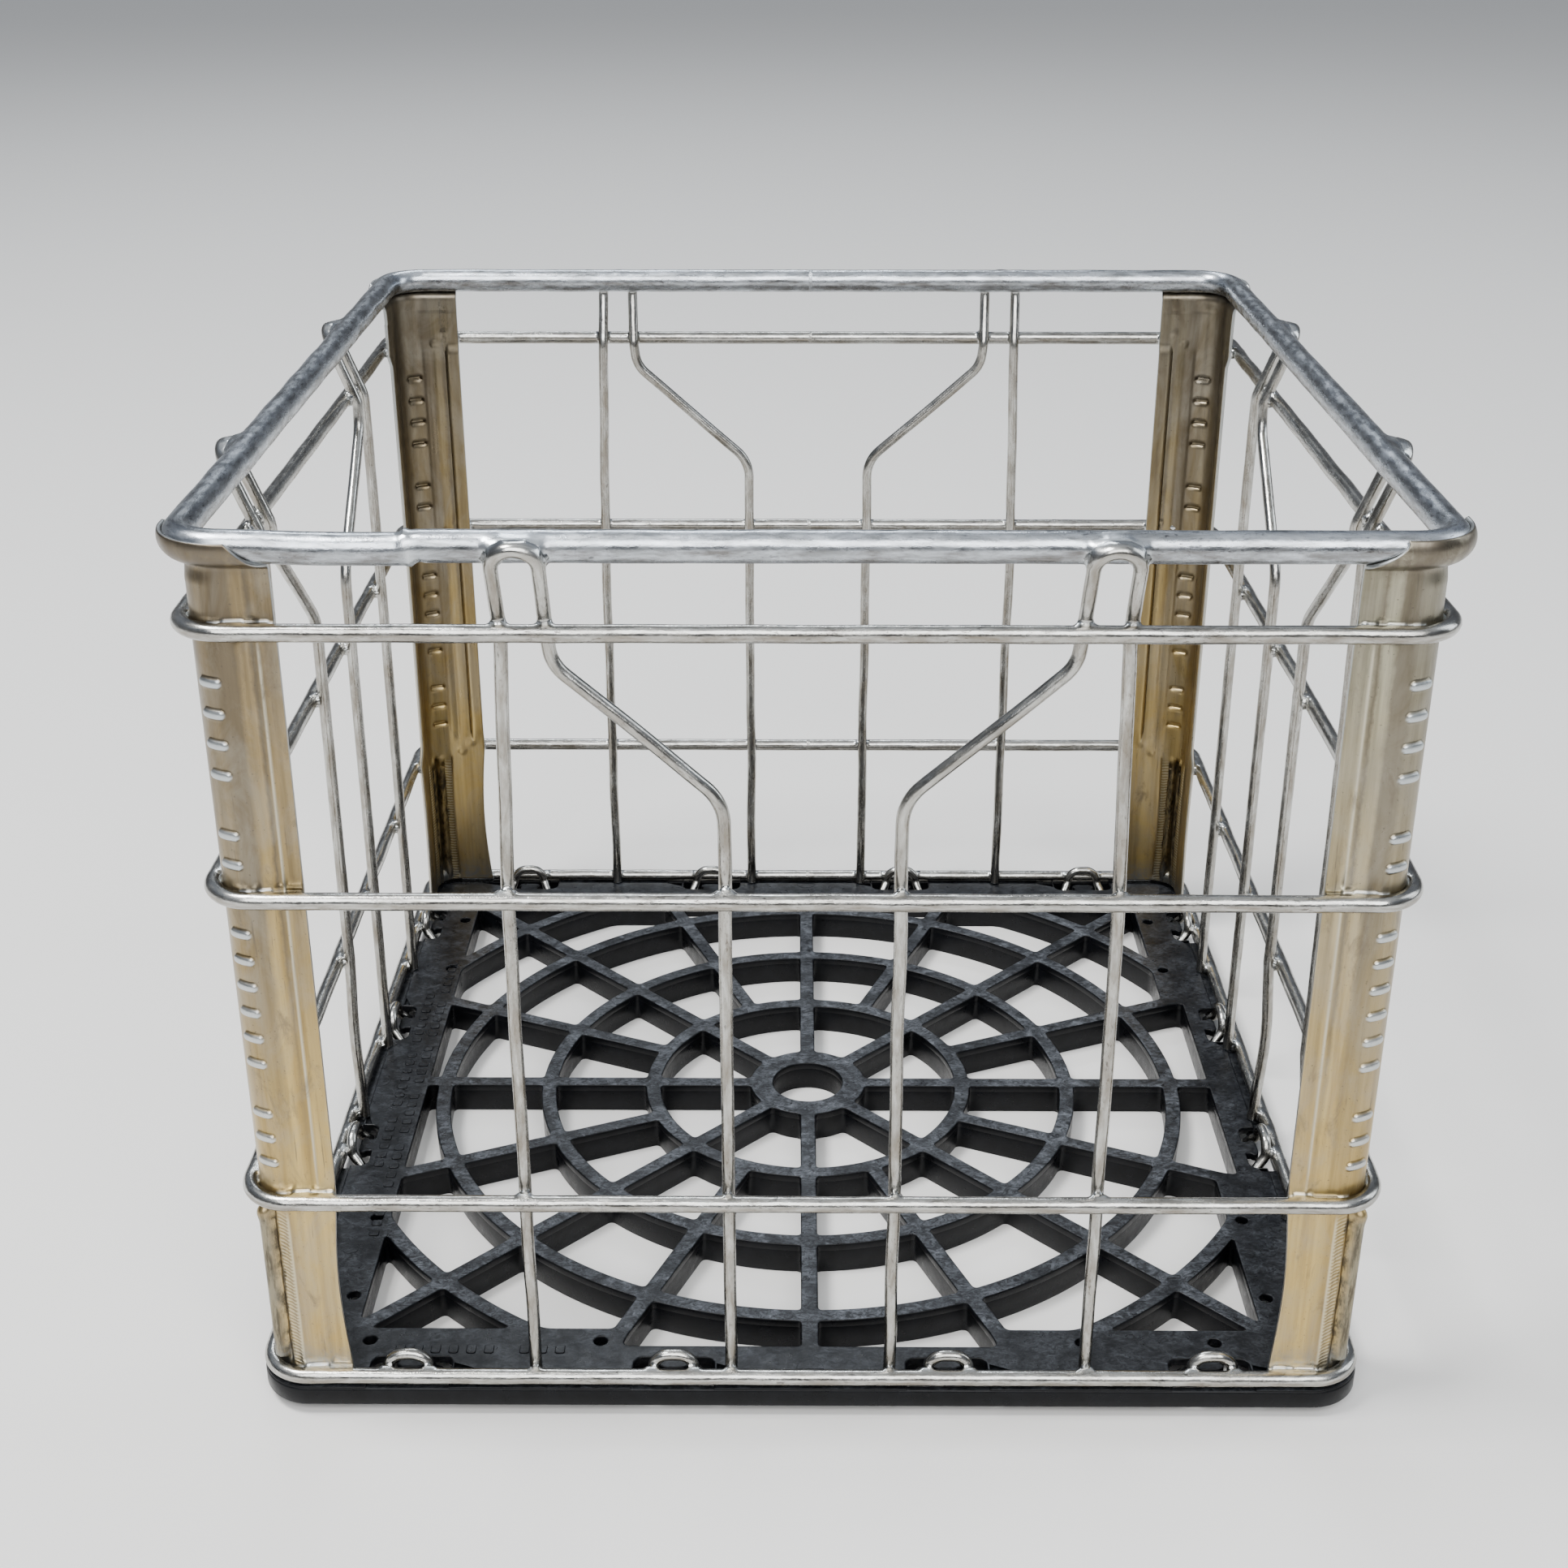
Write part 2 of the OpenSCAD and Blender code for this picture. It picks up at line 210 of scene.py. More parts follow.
def resampled(path, spots, fine, coarse, reach=8.0):
    """Points along path, close together near the spots and further apart elsewhere."""
    length = lengths_along(path)

    def at(s):
        return np.stack([np.interp(s, length, path[:, i]) for i in range(3)], axis=1)

    s = np.linspace(0, length[-1], int(length[-1] / 0.25))
    near = np.full(len(s), 1e9)
    dense = at(s)
    for spot in spots:
        near = np.minimum(near, np.linalg.norm(dense - spot, axis=1))
    step = fine + (coarse - fine) * np.clip((near - reach) / reach, 0, 1)
    count = np.concatenate([[0], np.cumsum(np.diff(s) / (0.5 * (step[1:] + step[:-1])))])
    return at(np.interp(np.linspace(0, count[-1], int(count[-1]) + 1), count, s))


def waves(phase, angle, rng, count=10, longest=1):
    """Smooth noise about 1 high, on a tube: phase runs 0 to 1 along it, angle round it."""
    total = np.zeros(np.broadcast(phase, angle).shape)
    for _ in range(count):
        turns = rng.integers(longest, longest * 14)
        around = rng.integers(0, 4)
        shift = rng.uniform(0, 2 * math.pi)
        total = total + rng.uniform(0.4, 1) * np.sin(2 * math.pi * turns * phase + around * angle + shift)
    return total / math.sqrt(count)


FLOW_GAP = 370  # between one wire's places and the next one's, so that no two look alike


class Wire:
    """A round wire or rod along a path. Its middle line is kept, so that welds can find it."""

    def __init__(self, name, path, radius, reference, closed=False, waver=0.1, lump=0.03, seed=0):
        self.name, self.radius, self.closed, self.seed = name, radius, closed, seed
        self.reference, self.lump = np.array(reference, float), lump
        rng = np.random.default_rng([SEED, seed])
        length = np.linalg.norm(np.diff(path, axis=0), axis=1).sum()
        self.path = resampled(path, [], 0.8, 0.8)
        phase = np.linspace(0, 1, len(self.path))
        fade = 1 if closed else np.clip(np.minimum(phase, 1 - phase) * length / 15, 0, 1)
        across = unit(np.cross(self.reference, np.gradient(self.path, axis=0)))
        slow = waves(phase, 0, rng, 6, max(1, int(length / 300)))
        self.path = self.path + across * (waver * fade * slow)[:, None]

    def surface(self, spots, fine, coarse, around):
        """Rows of points round the wire, their normals, and where each lies along and round it."""
        path = resampled(self.path, spots, fine, coarse)
        if self.closed:
            path = path[:-1]
            tangent = unit(np.roll(path, -1, axis=0) - np.roll(path, 1, axis=0))
        else:
            tangent = unit(np.gradient(path, axis=0))
        side = unit(self.reference - tangent * (tangent @ self.reference)[:, None])
        other = np.cross(tangent, side)
        angle = 2 * math.pi * np.arange(around) / around
        normals = side[:, None] * np.cos(angle)[None, :, None] + other[:, None] * np.sin(angle)[None, :, None]
        rng = np.random.default_rng([SEED, self.seed, 1])
        phase = np.arange(len(path)) / len(path)
        length = np.linalg.norm(np.diff(path, axis=0), axis=1).sum()
        noise = waves(phase[:, None], angle[None, :], rng, 14, max(1, int(length / 160)))
        points = path[:, None] + normals * (self.radius + self.lump * noise)[:, :, None]
        flow = np.zeros(points.shape)
        flow[:, :, 0] = lengths_along(path)[:, None] + FLOW_GAP * self.seed
        flow[:, :, 1] = self.radius * np.cos(angle)
        flow[:, :, 2] = self.radius * np.sin(angle)
        return points, normals, flow


def segment_distance(points, starts, ends):
    """Distance of each point from the nearest of some line segments."""
    best = np.full(len(points), 1e9)
    for a, b in zip(starts, ends):
        d = b - a
        t = np.clip((points - a) @ d / max(float(d @ d), 1e-9), 0, 1)
        best = np.minimum(best, np.linalg.norm(points - a - t[:, None] * d, axis=1))
    return best


def local_distance(wire, spot, reach=14.0):
    """A function that measures the distance from a wire's surface, right near the spot."""
    near = np.linalg.norm(wire.path - spot, axis=1) < reach
    index = np.nonzero(near)[0]
    if not len(index):
        return None
    index = index[::2] if len(index) > 8 else index
    ends = np.minimum(index + 2, len(wire.path) - 1)
    starts, stops = wire.path[index], wire.path[ends]
    return lambda p: segment_distance(p, starts, stops) - wire.radius


def swollen(points, normals, distances, blend, cap):
    """Moves points out along their normals to where their own surface and the others melt together.

    Also gives how far each moved."""
    low, high = np.zeros(len(points)), np.full(len(points), cap)
    for _ in range(12):
        own = (low + high) / 2
        moved = points + normals * own[:, None]
        other = np.min([d(moved) for d in distances], axis=0)
        h = np.clip(0.5 + 0.5 * (other - own) / blend, 0, 1)
        field = other * (1 - h) + own * h - blend * h * (1 - h)
        high = np.where(field > 0, own, high)
        low = np.where(field > 0, low, own)
    return points + normals * low[:, None], low


class Weld:
    """A place where pieces melt together: its wires by name, and beads of zinc as capsules."""

    def __init__(self, spot, wires, beads=(), blend=1.5, reach=7.0, cap=1.6, faces=()):
        self.spot, self.wires, self.beads = np.array(spot, float), wires, beads
        self.blend, self.reach, self.cap, self.faces = blend, reach, cap, faces

    def distances(self, own):
        """Functions that measure the distance from everything in the weld but its own piece."""
        found = [local_distance(wires[n], self.spot) for n in self.wires if n != own and n in wires]
        for a, b, r in self.beads:
            a, b = np.array(a, float), np.array(b, float)
            found.append(lambda p, a=a, b=b, r=r: segment_distance(p, [a], [b]) - r)
        return [f for f in found if f] + ([] if own.startswith("post") else list(self.faces))


def weld_surface(points, normals, mine, own):
    """Melts a piece's surface into its welds. Gives the new points and how much zinc sits on each."""
    shape = points.shape
    flat, out = points.reshape(-1, 3).copy(), normals.reshape(-1, 3)
    zinc = np.zeros(len(flat))
    for weld in mine:
        away = np.linalg.norm(flat - weld.spot, axis=1)
        near = away < weld.reach
        distances = weld.distances(own)
        if not near.any() or not distances:
            continue
        fade = np.clip((weld.reach - away[near]) / 2, 0, 1)
        moved, height = swollen(flat[near], out[near], distances, weld.blend, weld.cap)
        flat[near] += (moved - flat[near]) * fade[:, None]
        zinc[near] = np.maximum(zinc[near], np.clip(height * fade / 0.5, 0, 1))
    return flat.reshape(shape), zinc


SEAM_U = -101


def rim_seam(points, normals):
    """The rim's butt weld in its left front, a thin ring of weld. The rim sits lower to its left."""
    x, y = points[..., 0], points[..., 1]
    front = (y < -RIM_MID + 10) & (np.abs(x) < 150)
    at = x - SEAM_U + 0.25 * (points[..., 2] - RIM_Z)
    low = 0.8 * smooth(-at / 1.2 + 0.5) * smooth((x + 150) / 30)
    ring = 0.45 * bump(at, 0.8) - 0.25 * bump(at - 2.2, 0.7)
    moved = points + normals * (ring * front)[..., None]
    moved[..., 2] -= low * front
    return moved, (0.8 * bump(at - 0.6, 1.0)) * front


def wire_mesh(wire, fine=0.42, coarse=1.3, around=24):
    """The finished mesh of a wire with its welds."""
    mine = [w for w in welds if wire.name in w.wires]
    points, normals, flow = wire.surface([w.spot for w in mine], fine, coarse, around)
    points, zinc = weld_surface(points, normals, mine, wire.name)
    if wire.name == "top_rim":
        points, seam = rim_seam(points, normals)
        zinc = np.maximum(zinc, seam.ravel())
    rows = len(points)
    faces = grid_faces(rows, around, wrap_rows=wire.closed)
    if not wire.closed:
        first, last = list(range(around)), list(range((rows - 1) * around, rows * around))
        faces += [tuple(first[::-1]), tuple(last)]
        zinc[first + last] = 1
    points, flow = points.reshape(-1, 3), flow.reshape(-1, 3)
    return add_mesh(wire.name + "_wire", points, faces, zinc, flow, sharp=50)


# ---------------------------------------------------------------- the wires and their welds

# Upright, the leg's u, height above the base ring, and how far outwards the leg was knocked
KNOCKS = [
    ("upright_right_front", -OUTER_U, 30, 3.2), ("upright_right_front", -INNER_U, 34, 2.0),
    ("upright_left_front", INNER_U, 36, 1.0), ("upright_rear_right", -INNER_U, 28, -1.0),
]


def upright_path(hand):
    """Middle line of a front upright. hand is -1 for the left one and 1 for the right one."""
    lean_z = UPPER_Z - 1.5
    points = [
        (hand * OUTER_U, -LEG_V, LEG_FOOT_Z),
        (hand * OUTER_U, -LEG_V, MIDDLE_Z - 8),
        (hand * (OUTER_U - 2.2), -LEG_V, lean_z),
        (hand * (ARCH_U + ARCH_R), -ARCH_V, ARCH_Z),
        (hand * (ARCH_U - ARCH_R), -ARCH_V, ARCH_Z),
        (hand * (INNER_TOP_U + 0.4), -LEG_V, lean_z),
        (hand * (INNER_TOP_U - 0.6), -LEG_V, JOG_TOP_Z + 1),
        (hand * INNER_U, -LEG_V, JOG_BOTTOM_Z),
        (hand * INNER_U, -LEG_V, LEG_FOOT_Z),
    ]
    return bent_path(points, [60, 12, ARCH_R - 0.05, ARCH_R - 0.05, 7, 11, 14])


# Node: its side, and which end of that side it is near, -1 the side before and 1 the side after
UPRIGHTS = {f"upright_{side}_{list(SIDES)[(i + hand) % 4]}": (side, hand)
            for i, side in enumerate(SIDES) for hand in (-1, 1)}


def knocked(path, side, u, height, amount):
    """An upright's path with one leg pushed outwards at some height above the base ring."""
    local = turned(path, -SIDES[side])
    z = local[:, 2] - BASE_Z
    fall = np.where(z < height, z / height, 1 - (z - height) / (LOWER_Z - BASE_Z - height))
    fall = np.clip(fall, 0, 1)
    round_fall = fall - 0.16 * bump(z - height, 5) * fall
    local[:, 1] -= amount * round_fall * (np.abs(local[:, 0] - u) < 6)
    return turned(local, SIDES[side])


def all_the_wires():
    """The rim, the rings and the uprights by name."""
    wires = {"top_rim": Wire("top_rim", square_path(RIM_MID, RIM_Z), RIM_R, (0, 0, 1), True, 0.12, 0.05, 1)}
    for i, (name, z) in enumerate(RING_Z.items()):
        path = square_path(RING_MID, z)
        if name == "upper_ring":  # it has sagged a little in the middle of the front
            front = np.clip((-path[:, 1] - RING_MID + 3) / 3, 0, 1)
            path[:, 2] -= 0.8 * front * np.cos(path[:, 0] / RING_MID * math.pi / 2) ** 2
        wires[name] = Wire(name, path, RING_R, (0, 0, 1), True, 0.12, 0.035, 10 + i)
    for i, (name, (side, hand)) in enumerate(UPRIGHTS.items()):
        outward = turned((0, -1, 0), SIDES[side])
        path = turned(upright_path(hand), SIDES[side])
        for node, u, height, amount in KNOCKS:
            if node == name:
                path = knocked(resampled(path, [], 0.3, 0.3), side, u, height, amount)
        wires[name] = Wire(name, path, WIRE_R, outward, False, 0.22, 0.03, 20 + i)
    return wires


def leg_welds():
    """A weld where each leg of each upright crosses a ring, with a bead of zinc above the ring."""
    rng = np.random.default_rng([SEED, 50])
    welds = []
    for name, (side, _) in UPRIGHTS.items():
        local = turned(wires[name].path, -SIDES[side])
        top = int(np.argmax(local[:, 2]))
        for ring, z in RING_Z.items():
            for leg in (local[:top], local[top:]):
                u = leg[int(np.argmin(np.abs(leg[:, 2] - z))), 0]
                size = rng.uniform(0.75, 1.15)
                bead_z = z + RING_R * 0.82
                half = size * rng.uniform(1.0, 1.5)
                bead_v = RING_MID - RING_R * 0.55
                bead = [on_side(side, u - half, bead_v, bead_z),
                        on_side(side, u + half, bead_v, bead_z + rng.uniform(-0.2, 0.3)), 0.8 * size]
                lower = [on_side(side, u - 0.6, bead_v, z - RING_R * 0.75),
                         on_side(side, u + 0.6, bead_v, z - RING_R * 0.75), 0.6 * size]
                spot = on_side(side, u, (RING_MID + LEG_V) / 2, z)
                welds.append(Weld(spot, [name, ring], [bead, lower], 1.3 * size, 7.5, 1.5))
    return welds


def arch_welds():
    """The long welds that melt the arches into the rim."""
    rng = np.random.default_rng([SEED, 51])
    welds = []
    for name, (side, hand) in UPRIGHTS.items():
        beads = []
        for chord in (((-5.4, 1.3), (-2.5, 0.1)), ((-2.5, 0.1), (2.5, 0.1)), ((2.5, 0.1), (5.4, 1.3))):
            ends = [on_side(side, hand * ARCH_U + x, RIM_MID + RIM_R + 0.1 + rng.uniform(-0.2, 0.2),
                            RIM_Z + 1.9 - drop) for x, drop in chord]
            beads.append([*ends, 1.3])
        spot = on_side(side, hand * ARCH_U, RIM_MID + RIM_R + 1, RIM_Z)
        welds.append(Weld(spot, [name, "top_rim"], beads, 2.8, 14.0, 2.4))
    return welds


def staple_path(side, u):
    """Middle line of a staple, whose cut ends reach down into the base."""
    half = [(8.4, STAPLE_V - 3.6, BASE_Z - 4.9), (6.2, STAPLE_V, BASE_Z - 0.6), (5.8, STAPLE_V, STAPLE_TOP_Z)]
    points = [(u - at, -v, z) for at, v, z in half] + [(u + at, -v, z) for at, v, z in reversed(half)]
    return turned(bent_path(points, [3, 5, 5, 3], 0.2), SIDES[side])


def staple_wires():
    """The staples by name, each a little off its place along the side."""
    rng = np.random.default_rng([SEED, 52])
    staples = {}
    for side in SIDES:
        for i, u in enumerate(STAPLE_U):
            name = f"staple_{side}_{i + 1}"
            path = staple_path(side, u + rng.uniform(-0.3, 0.3))
            staples[name] = Wire(name, path, STAPLE_R, turned((0, -1, 0), SIDES[side]), False, 0.05, 0.03,
                                 61 + len(staples))
    return staples


def staple_welds():
    """A short bead where each leg of each staple passes the base ring."""
    welds = []
    bead_v, bead_z = RING_MID - RING_R * 0.6, BASE_Z + RING_R * 0.8
    for side in SIDES:
        for i, u in enumerate(STAPLE_U):
            for hand in (-1, 1):
                bead = [on_side(side, u + hand * at, bead_v, bead_z) for at in (5.2, 7.4)]
                spot = on_side(side, u + hand * 6, (STAPLE_V + RING_MID) / 2, BASE_Z)
                name = f"staple_{side}_{i + 1}"
                welds.append(Weld(spot, [name, "base_ring"], [[*bead, 0.7]], 1.1, 6.0, 1.2))
    return welds


def post_face(side):
    """Distance from the flat outer faces of the posts on one side of the crate."""
    def distance(points):
        local = turned(points, -SIDES[side])
        u = np.abs(local[:, 0])
        return np.maximum(-local[:, 1] - POST_OUT, np.maximum(FLANGE_U - u, u - (POST_OUT - POST_R)))
    return distance


def post_welds():
    """Where the flanges of the posts are welded to the rings."""
    rng = np.random.default_rng([SEED, 53])
    welds = []
    v = RING_MID - RING_R * 0.72
    for side in SIDES:
        for ring, z in RING_Z.items():
            full = 0.8 if ring == "upper_ring" else 1.0
            for hand in (-1, 1):
                beads = []
                for start, length in ((FLANGE_U + 0.8, 5.5), (FLANGE_U + 7.5, 4.0)):
                    a, b = start + rng.uniform(0, 1.2), start + length + rng.uniform(-0.5, 1.8)
                    r = rng.uniform(0.45, 0.85) * full
                    up = RING_R * rng.uniform(0.55, 0.80)
                    if rng.uniform() < 0.2:
                        continue
                    start = on_side(side, hand * a, v, z + up)
                    beads.append([start, on_side(side, hand * b, v, z + up - 0.3), r])
                spot = on_side(side, hand * (FLANGE_U + 7), POST_OUT, z)
                welds.append(Weld(spot, [ring, f"post_{side}"], beads, 1.3, 10.5, 1.2, [post_face(side)]))
    return welds


wires = all_the_wires()
wires.update(staple_wires())
rings_to_posts = post_welds()
welds = staple_welds() + leg_welds() + arch_welds() + rings_to_posts


# ---------------------------------------------------------------- corner posts

STRIP_W, STRIP_STEP = 4.6, 0.9
FLAT = POST_OUT - POST_R - FLANGE_U
HALF_ARC = POST_R * math.pi / 4
HALF_S = FLAT + HALF_ARC
COLLAR_R = RIM_R + 0.05 + SHEET_T
COLLAR_FILLET = 1.6
COLLAR_START_Z = RIM_Z - 12


def corner_line(s, half, radius):
    """Point and outward direction at s along an outline with a round corner. s is 0 in the corner."""
    arc = radius * math.pi / 4
    a = math.pi / 4 + np.clip(s, -arc, arc) / radius
    out = np.stack([np.cos(a), np.sin(a)], axis=-1)
    past = np.sign(s) * np.maximum(np.abs(s) - arc, 0)
    along = np.stack([-np.maximum(past, 0), np.minimum(past, 0)], axis=-1)
    return np.array([half - radius] * 2) + radius * out + along, out


BEAD_TOP_Z = LOWER_Z - RING_R - 0.9
BEAD_FOOT_Z = BASE_Z + RING_R + 0.4
BEAD_HALF_W = 2.1
GROOVE_S, CREASE_S = 2.6, 7.3
RIM_HALF_S = RIM_MID - BEND_R - FLANGE_U + BEND_R * math.pi / 4  # HALF_S as the collar lies on the rim
# Heights of the plain raised bars down a post's corner, in groups
MARK_Z = [UPPER_Z - 15 - 8.7 * i for i in (0, 1, 2, 3, 5, 6)]
MARK_Z += [MIDDLE_Z - 12 - 8.2 * i for i in (0, 1, 2, 3, 4, 5, 7, 8, 9)]


def mark_rise(s, z, mark_s):
    """Height 0 to 1 of the row of raised bars round mark_s."""
    rise = np.zeros(np.broadcast(s, z).shape)
    for level in MARK_Z:
        across, up = np.abs(s - mark_s), np.abs(z - level)
        inside = np.hypot(np.maximum(across - 2.2, 0), up)
        rise += np.sqrt(np.maximum(1 - (inside / 1.6) ** 2, 0)) * smooth((1.7 - inside) / 0.6)
    return rise


def post_relief(s, z, mark_s, rng_shift):
    """How far the sheet stands out of the plain angle."""
    edge = HALF_S - np.abs(s)
    pressed = smooth((z - LOWER_Z - 1) / 9) * smooth((UPPER_Z - 1 - z) / 5)
    relief = -STRIP_STEP * pressed * (1 - smooth((edge - STRIP_W + 0.55) / 0.7))
    relief += 0.28 * pressed * (bump(edge - 10.4, 1.3) + 0.7 * bump(edge - 14.6, 1.1))
    for ring in (LOWER_Z, MIDDLE_Z, UPPER_Z):
        for at, drop, deep in ((5.6, 2.4, 0.35), (9.4, -1.6, 0.45)):
            relief -= deep * np.exp(-((edge - at) ** 2 + (z - ring - drop) ** 2) / 1.7)
    # The bead on the corner under the lower ring, with a round end at the top and a groove each side
    end = np.clip((z - (BEAD_TOP_Z - 3.2)) / 3.2, 0, 1)
    foot = smooth((z - BEAD_FOOT_Z) / 2.0)
    half_w = BEAD_HALF_W * np.sqrt(np.maximum(1 - end ** 2, 0)) * (1 + 0.18 * bump(z - BEAD_TOP_Z + 3.4, 2.2))
    relief += 1.36 * np.sqrt(np.maximum(half_w ** 2 - s ** 2, 0)) * foot
    low = smooth((BEAD_TOP_Z + 1 - z) / 3) * smooth((z - BEAD_FOOT_Z + 2) / 3)
    wobble = 0.25 * np.sin(z / 3.1 + rng_shift) + 0.2 * np.sin(z / 1.7)
    relief -= 0.6 * low * bump(np.abs(s) - GROOVE_S + 0.5 * wobble, 0.6)
    relief += 0.40 * low * bump(np.abs(s) - CREASE_S, 0.7)
    relief -= 0.15 * low * bump(np.abs(s) - (GROOVE_S + CREASE_S) / 2, 1.2)
    return relief + 1.0 * mark_rise(s, z, mark_s)


def post_rows():
    """Heights of the rows up to the collar, close together where the post has detail."""
    heights, z = [POST_FOOT_Z], POST_FOOT_Z
    while z < COLLAR_START_Z:
        near_ring = min(abs(z - ring) for ring in (BASE_Z, LOWER_Z, MIDDLE_Z, UPPER_Z))
        near_mark = min(abs(z - mark) for mark in MARK_Z)
        if near_mark < 2.2:
            z += 0.36
        elif near_ring < 6:
            z += 0.5
        else:
            z += 0.8
        heights.append(min(z, COLLAR_START_Z))
    return np.array(heights)


def collar_profile(top):
    """Outer line of the collar and its directions out of the sheet, round the rim's middle."""
    w0 = POST_OUT - RIM_MID
    level = -math.sqrt((COLLAR_R + COLLAR_FILLET) ** 2 - (w0 + COLLAR_FILLET) ** 2)
    tangent = math.atan2(level, w0 + COLLAR_FILLET)
    points, outs = [], []
    for z in np.arange(COLLAR_START_Z - RIM_Z + 0.6, level, 0.6):
        points.append((w0, z))
        outs.append((1, 0))
    for a in np.linspace(math.pi, tangent + math.pi, 7)[1:]:
        c, d = math.cos(a), math.sin(a)
        points.append((w0 + COLLAR_FILLET + COLLAR_FILLET * c, level + COLLAR_FILLET * d))
        outs.append((-c, -d))
    for a in np.linspace(tangent, top, 24)[1:]:
        points.append((COLLAR_R * math.cos(a), COLLAR_R * math.sin(a)))
        outs.append((math.cos(a), math.sin(a)))
    return np.array(points), np.array(outs)


def sheet_row(xy, z, out, out_z, s):
    """One row across the sheet: its points, normals and flow."""
    level = np.full(len(s), z)
    normals = np.column_stack([out, np.full(len(s), out_z)])
    return np.column_stack([xy, level]), normals, np.column_stack([np.abs(s), level, s])


def flange_rows(s_line, mark_s, rng):
    """The sheet's outer face from its foot to the collar: rows of points, normals and flow."""
    rows = []
    # The flanges narrow a little under the lower ring, and dent a little everywhere
    dent = [rng.uniform(-1, 1, 3) for _ in range(4)]
    for z in post_rows():
        below = min((z - BASE_Z) / (LOWER_Z - BASE_Z), 1)
        waist = 1.9 * max(0.0, math.sin(math.pi * below))
        s = s_line * (HALF_S - waist) / HALF_S
        place, out = corner_line(s, POST_OUT, POST_R)
        lift = post_relief(s_line, np.full(len(s), z), mark_s, 0.2 * dent[0][0])
        for k, (a, b, c) in enumerate(dent):
            lift = lift + 0.10 * a * np.sin((z / (35 + 20 * k)) + 3 * b + s * (0.08 + 0.05 * c))
        xy = place + out * (lift - 0.12)[:, None]
        rows.append(sheet_row(xy, z, out, 0, s))
    return rows


def collar_rows(s_line, retreat, collar_top, curl):
    """The outer face of the collar round the rim: rows of points, normals and flow."""
    rows = []
    profile, outs = collar_profile(math.radians(collar_top))
    for i, ((w, z), (nw, nz)) in enumerate(zip(profile, outs)):
        blend = float(smooth((z - profile[0, 1]) / 5.0))
        q = max(0.0, (i / (len(profile) - 1) - 0.34) / 0.66)
        pull = retreat * (q + curl * (q * q * (3 - 2 * q) - q))
        s = s_line * (HALF_S - pull) / HALF_S
        post_place, post_out = corner_line(s, POST_OUT, POST_R)
        rim_place, rim_out = corner_line(s * RIM_HALF_S / HALF_S, RIM_MID, BEND_R)
        out = unit(post_out * (1 - blend) + rim_out * blend)
        start = post_place * (1 - blend) + (rim_place + rim_out * (POST_OUT - RIM_MID)) * blend
        xy = start + out * (w - (POST_OUT - RIM_MID) - 0.12 * (1 - blend))
        rows.append(sheet_row(xy, RIM_Z + z, out * nw, nz, s))
    return rows


def true_normals(outer, roughly):
    """Directions out of the sheet from its own shape."""
    out = unit(np.cross(np.gradient(outer, axis=0), np.gradient(outer, axis=1)))
    return out * np.sign(np.sum(out * roughly, axis=2, keepdims=True))


def border_index(n, m):
    """The points round the edge of a grid of n rows of m points."""
    border = [(r, 0) for r in range(n)] + [(n - 1, c) for c in range(1, m)]
    border += [(r, m - 1) for r in range(n - 2, -1, -1)] + [(0, c) for c in range(m - 2, 0, -1)]
    return np.array([r * m + c for r, c in border])


def round_edge(outer, inner, index):
    """Two lines of points that round off the sheet's edge between its faces."""
    o, i = outer[index], inner[index]
    outward = unit(np.cross(unit(o - i), np.roll(o, -1, axis=0) - np.roll(o, 1, axis=0)))
    if np.sum((o - outer.mean(axis=0)) * outward) < 0:
        outward = -outward
    return [o * t + i * (1 - t) + outward * 0.2 for t in (0.8, 0.2)]


def sheet_faces(n, m, index):
    """Faces of the outer grid, the inner grid and the round edge between them."""
    grid = grid_faces(n, m, wrap_columns=False)
    faces = grid + [tuple(i + n * m for i in reversed(f)) for f in grid]
    k, base = len(index), 2 * n * m
    rings = [index, base + np.arange(k), base + k + np.arange(k), index + n * m]
    for j in range(k):
        j2 = (j + 1) % k
        for one, two in zip(rings, rings[1:]):
            faces.append((one[j], one[j2], two[j2], two[j]))
    return [tuple(int(v) for v in f) for f in faces]


def post_mesh(name, degrees, mark_s, retreat, collar_top, curl, seed):
    """A corner post: a sheet with its two faces and its edge, welded to the rings."""
    s_line = np.linspace(-HALF_S, HALF_S, 97)
    rows = flange_rows(s_line, mark_s, np.random.default_rng([SEED, seed]))
    rows += collar_rows(s_line, retreat, collar_top, curl)
    outer, roughly, flow = (np.array(part, float) for part in zip(*rows))
    n, m = outer.shape[:2]
    flow = flow.reshape(-1, 3)
    rows_s, rows_z = np.meshgrid(s_line, outer[:, 0, 2])
    out = true_normals(outer, roughly)
    inner = turned(outer - out * SHEET_T, degrees).reshape(-1, 3)
    outer, out = turned(outer, degrees), turned(out, degrees)
    mine = [w for w in rings_to_posts if np.abs(outer - w.spot).sum(axis=2).min() < 14]
    # Painted highlight: the raised bars are painted pale all over, as pale as weld zinc.
    zinc = 0.9 * smooth((mark_rise(rows_s, rows_z, mark_s) - 0.35) / 0.5).ravel()
    for weld in mine:
        outer, more = weld_surface(outer, out, [weld], weld.wires[1])
        zinc = np.maximum(zinc, more)
    outer, index = outer.reshape(-1, 3), border_index(n, m)
    points = np.concatenate([outer, inner, *round_edge(outer, inner, index)])
    flow = np.concatenate([flow, flow, flow[index], flow[index]])
    zinc = np.concatenate([zinc, np.zeros(n * m), np.full(2 * len(index), 0.6)])
    return outward_faces(add_mesh(name + "_sheet", points, sheet_faces(n, m, index), zinc, flow))


# Node: its turn from the rear right corner, the middle of its row of bars, and its collar: how far
# the ends draw back, how many degrees up the rim it comes, and how curved its ends are
POSTS = {
    "corner_post_rear_right": (0, 3.0, 7.0, 26, 0.6),
    "corner_post_rear_left": (90, -3.0, 7.0, 24, 0.8),
    "corner_post_front_left": (180, 3.0, 9.0, 20, 0.0),
    "corner_post_front_right": (270, -3.0, 8.6, 35, 1.6),
}
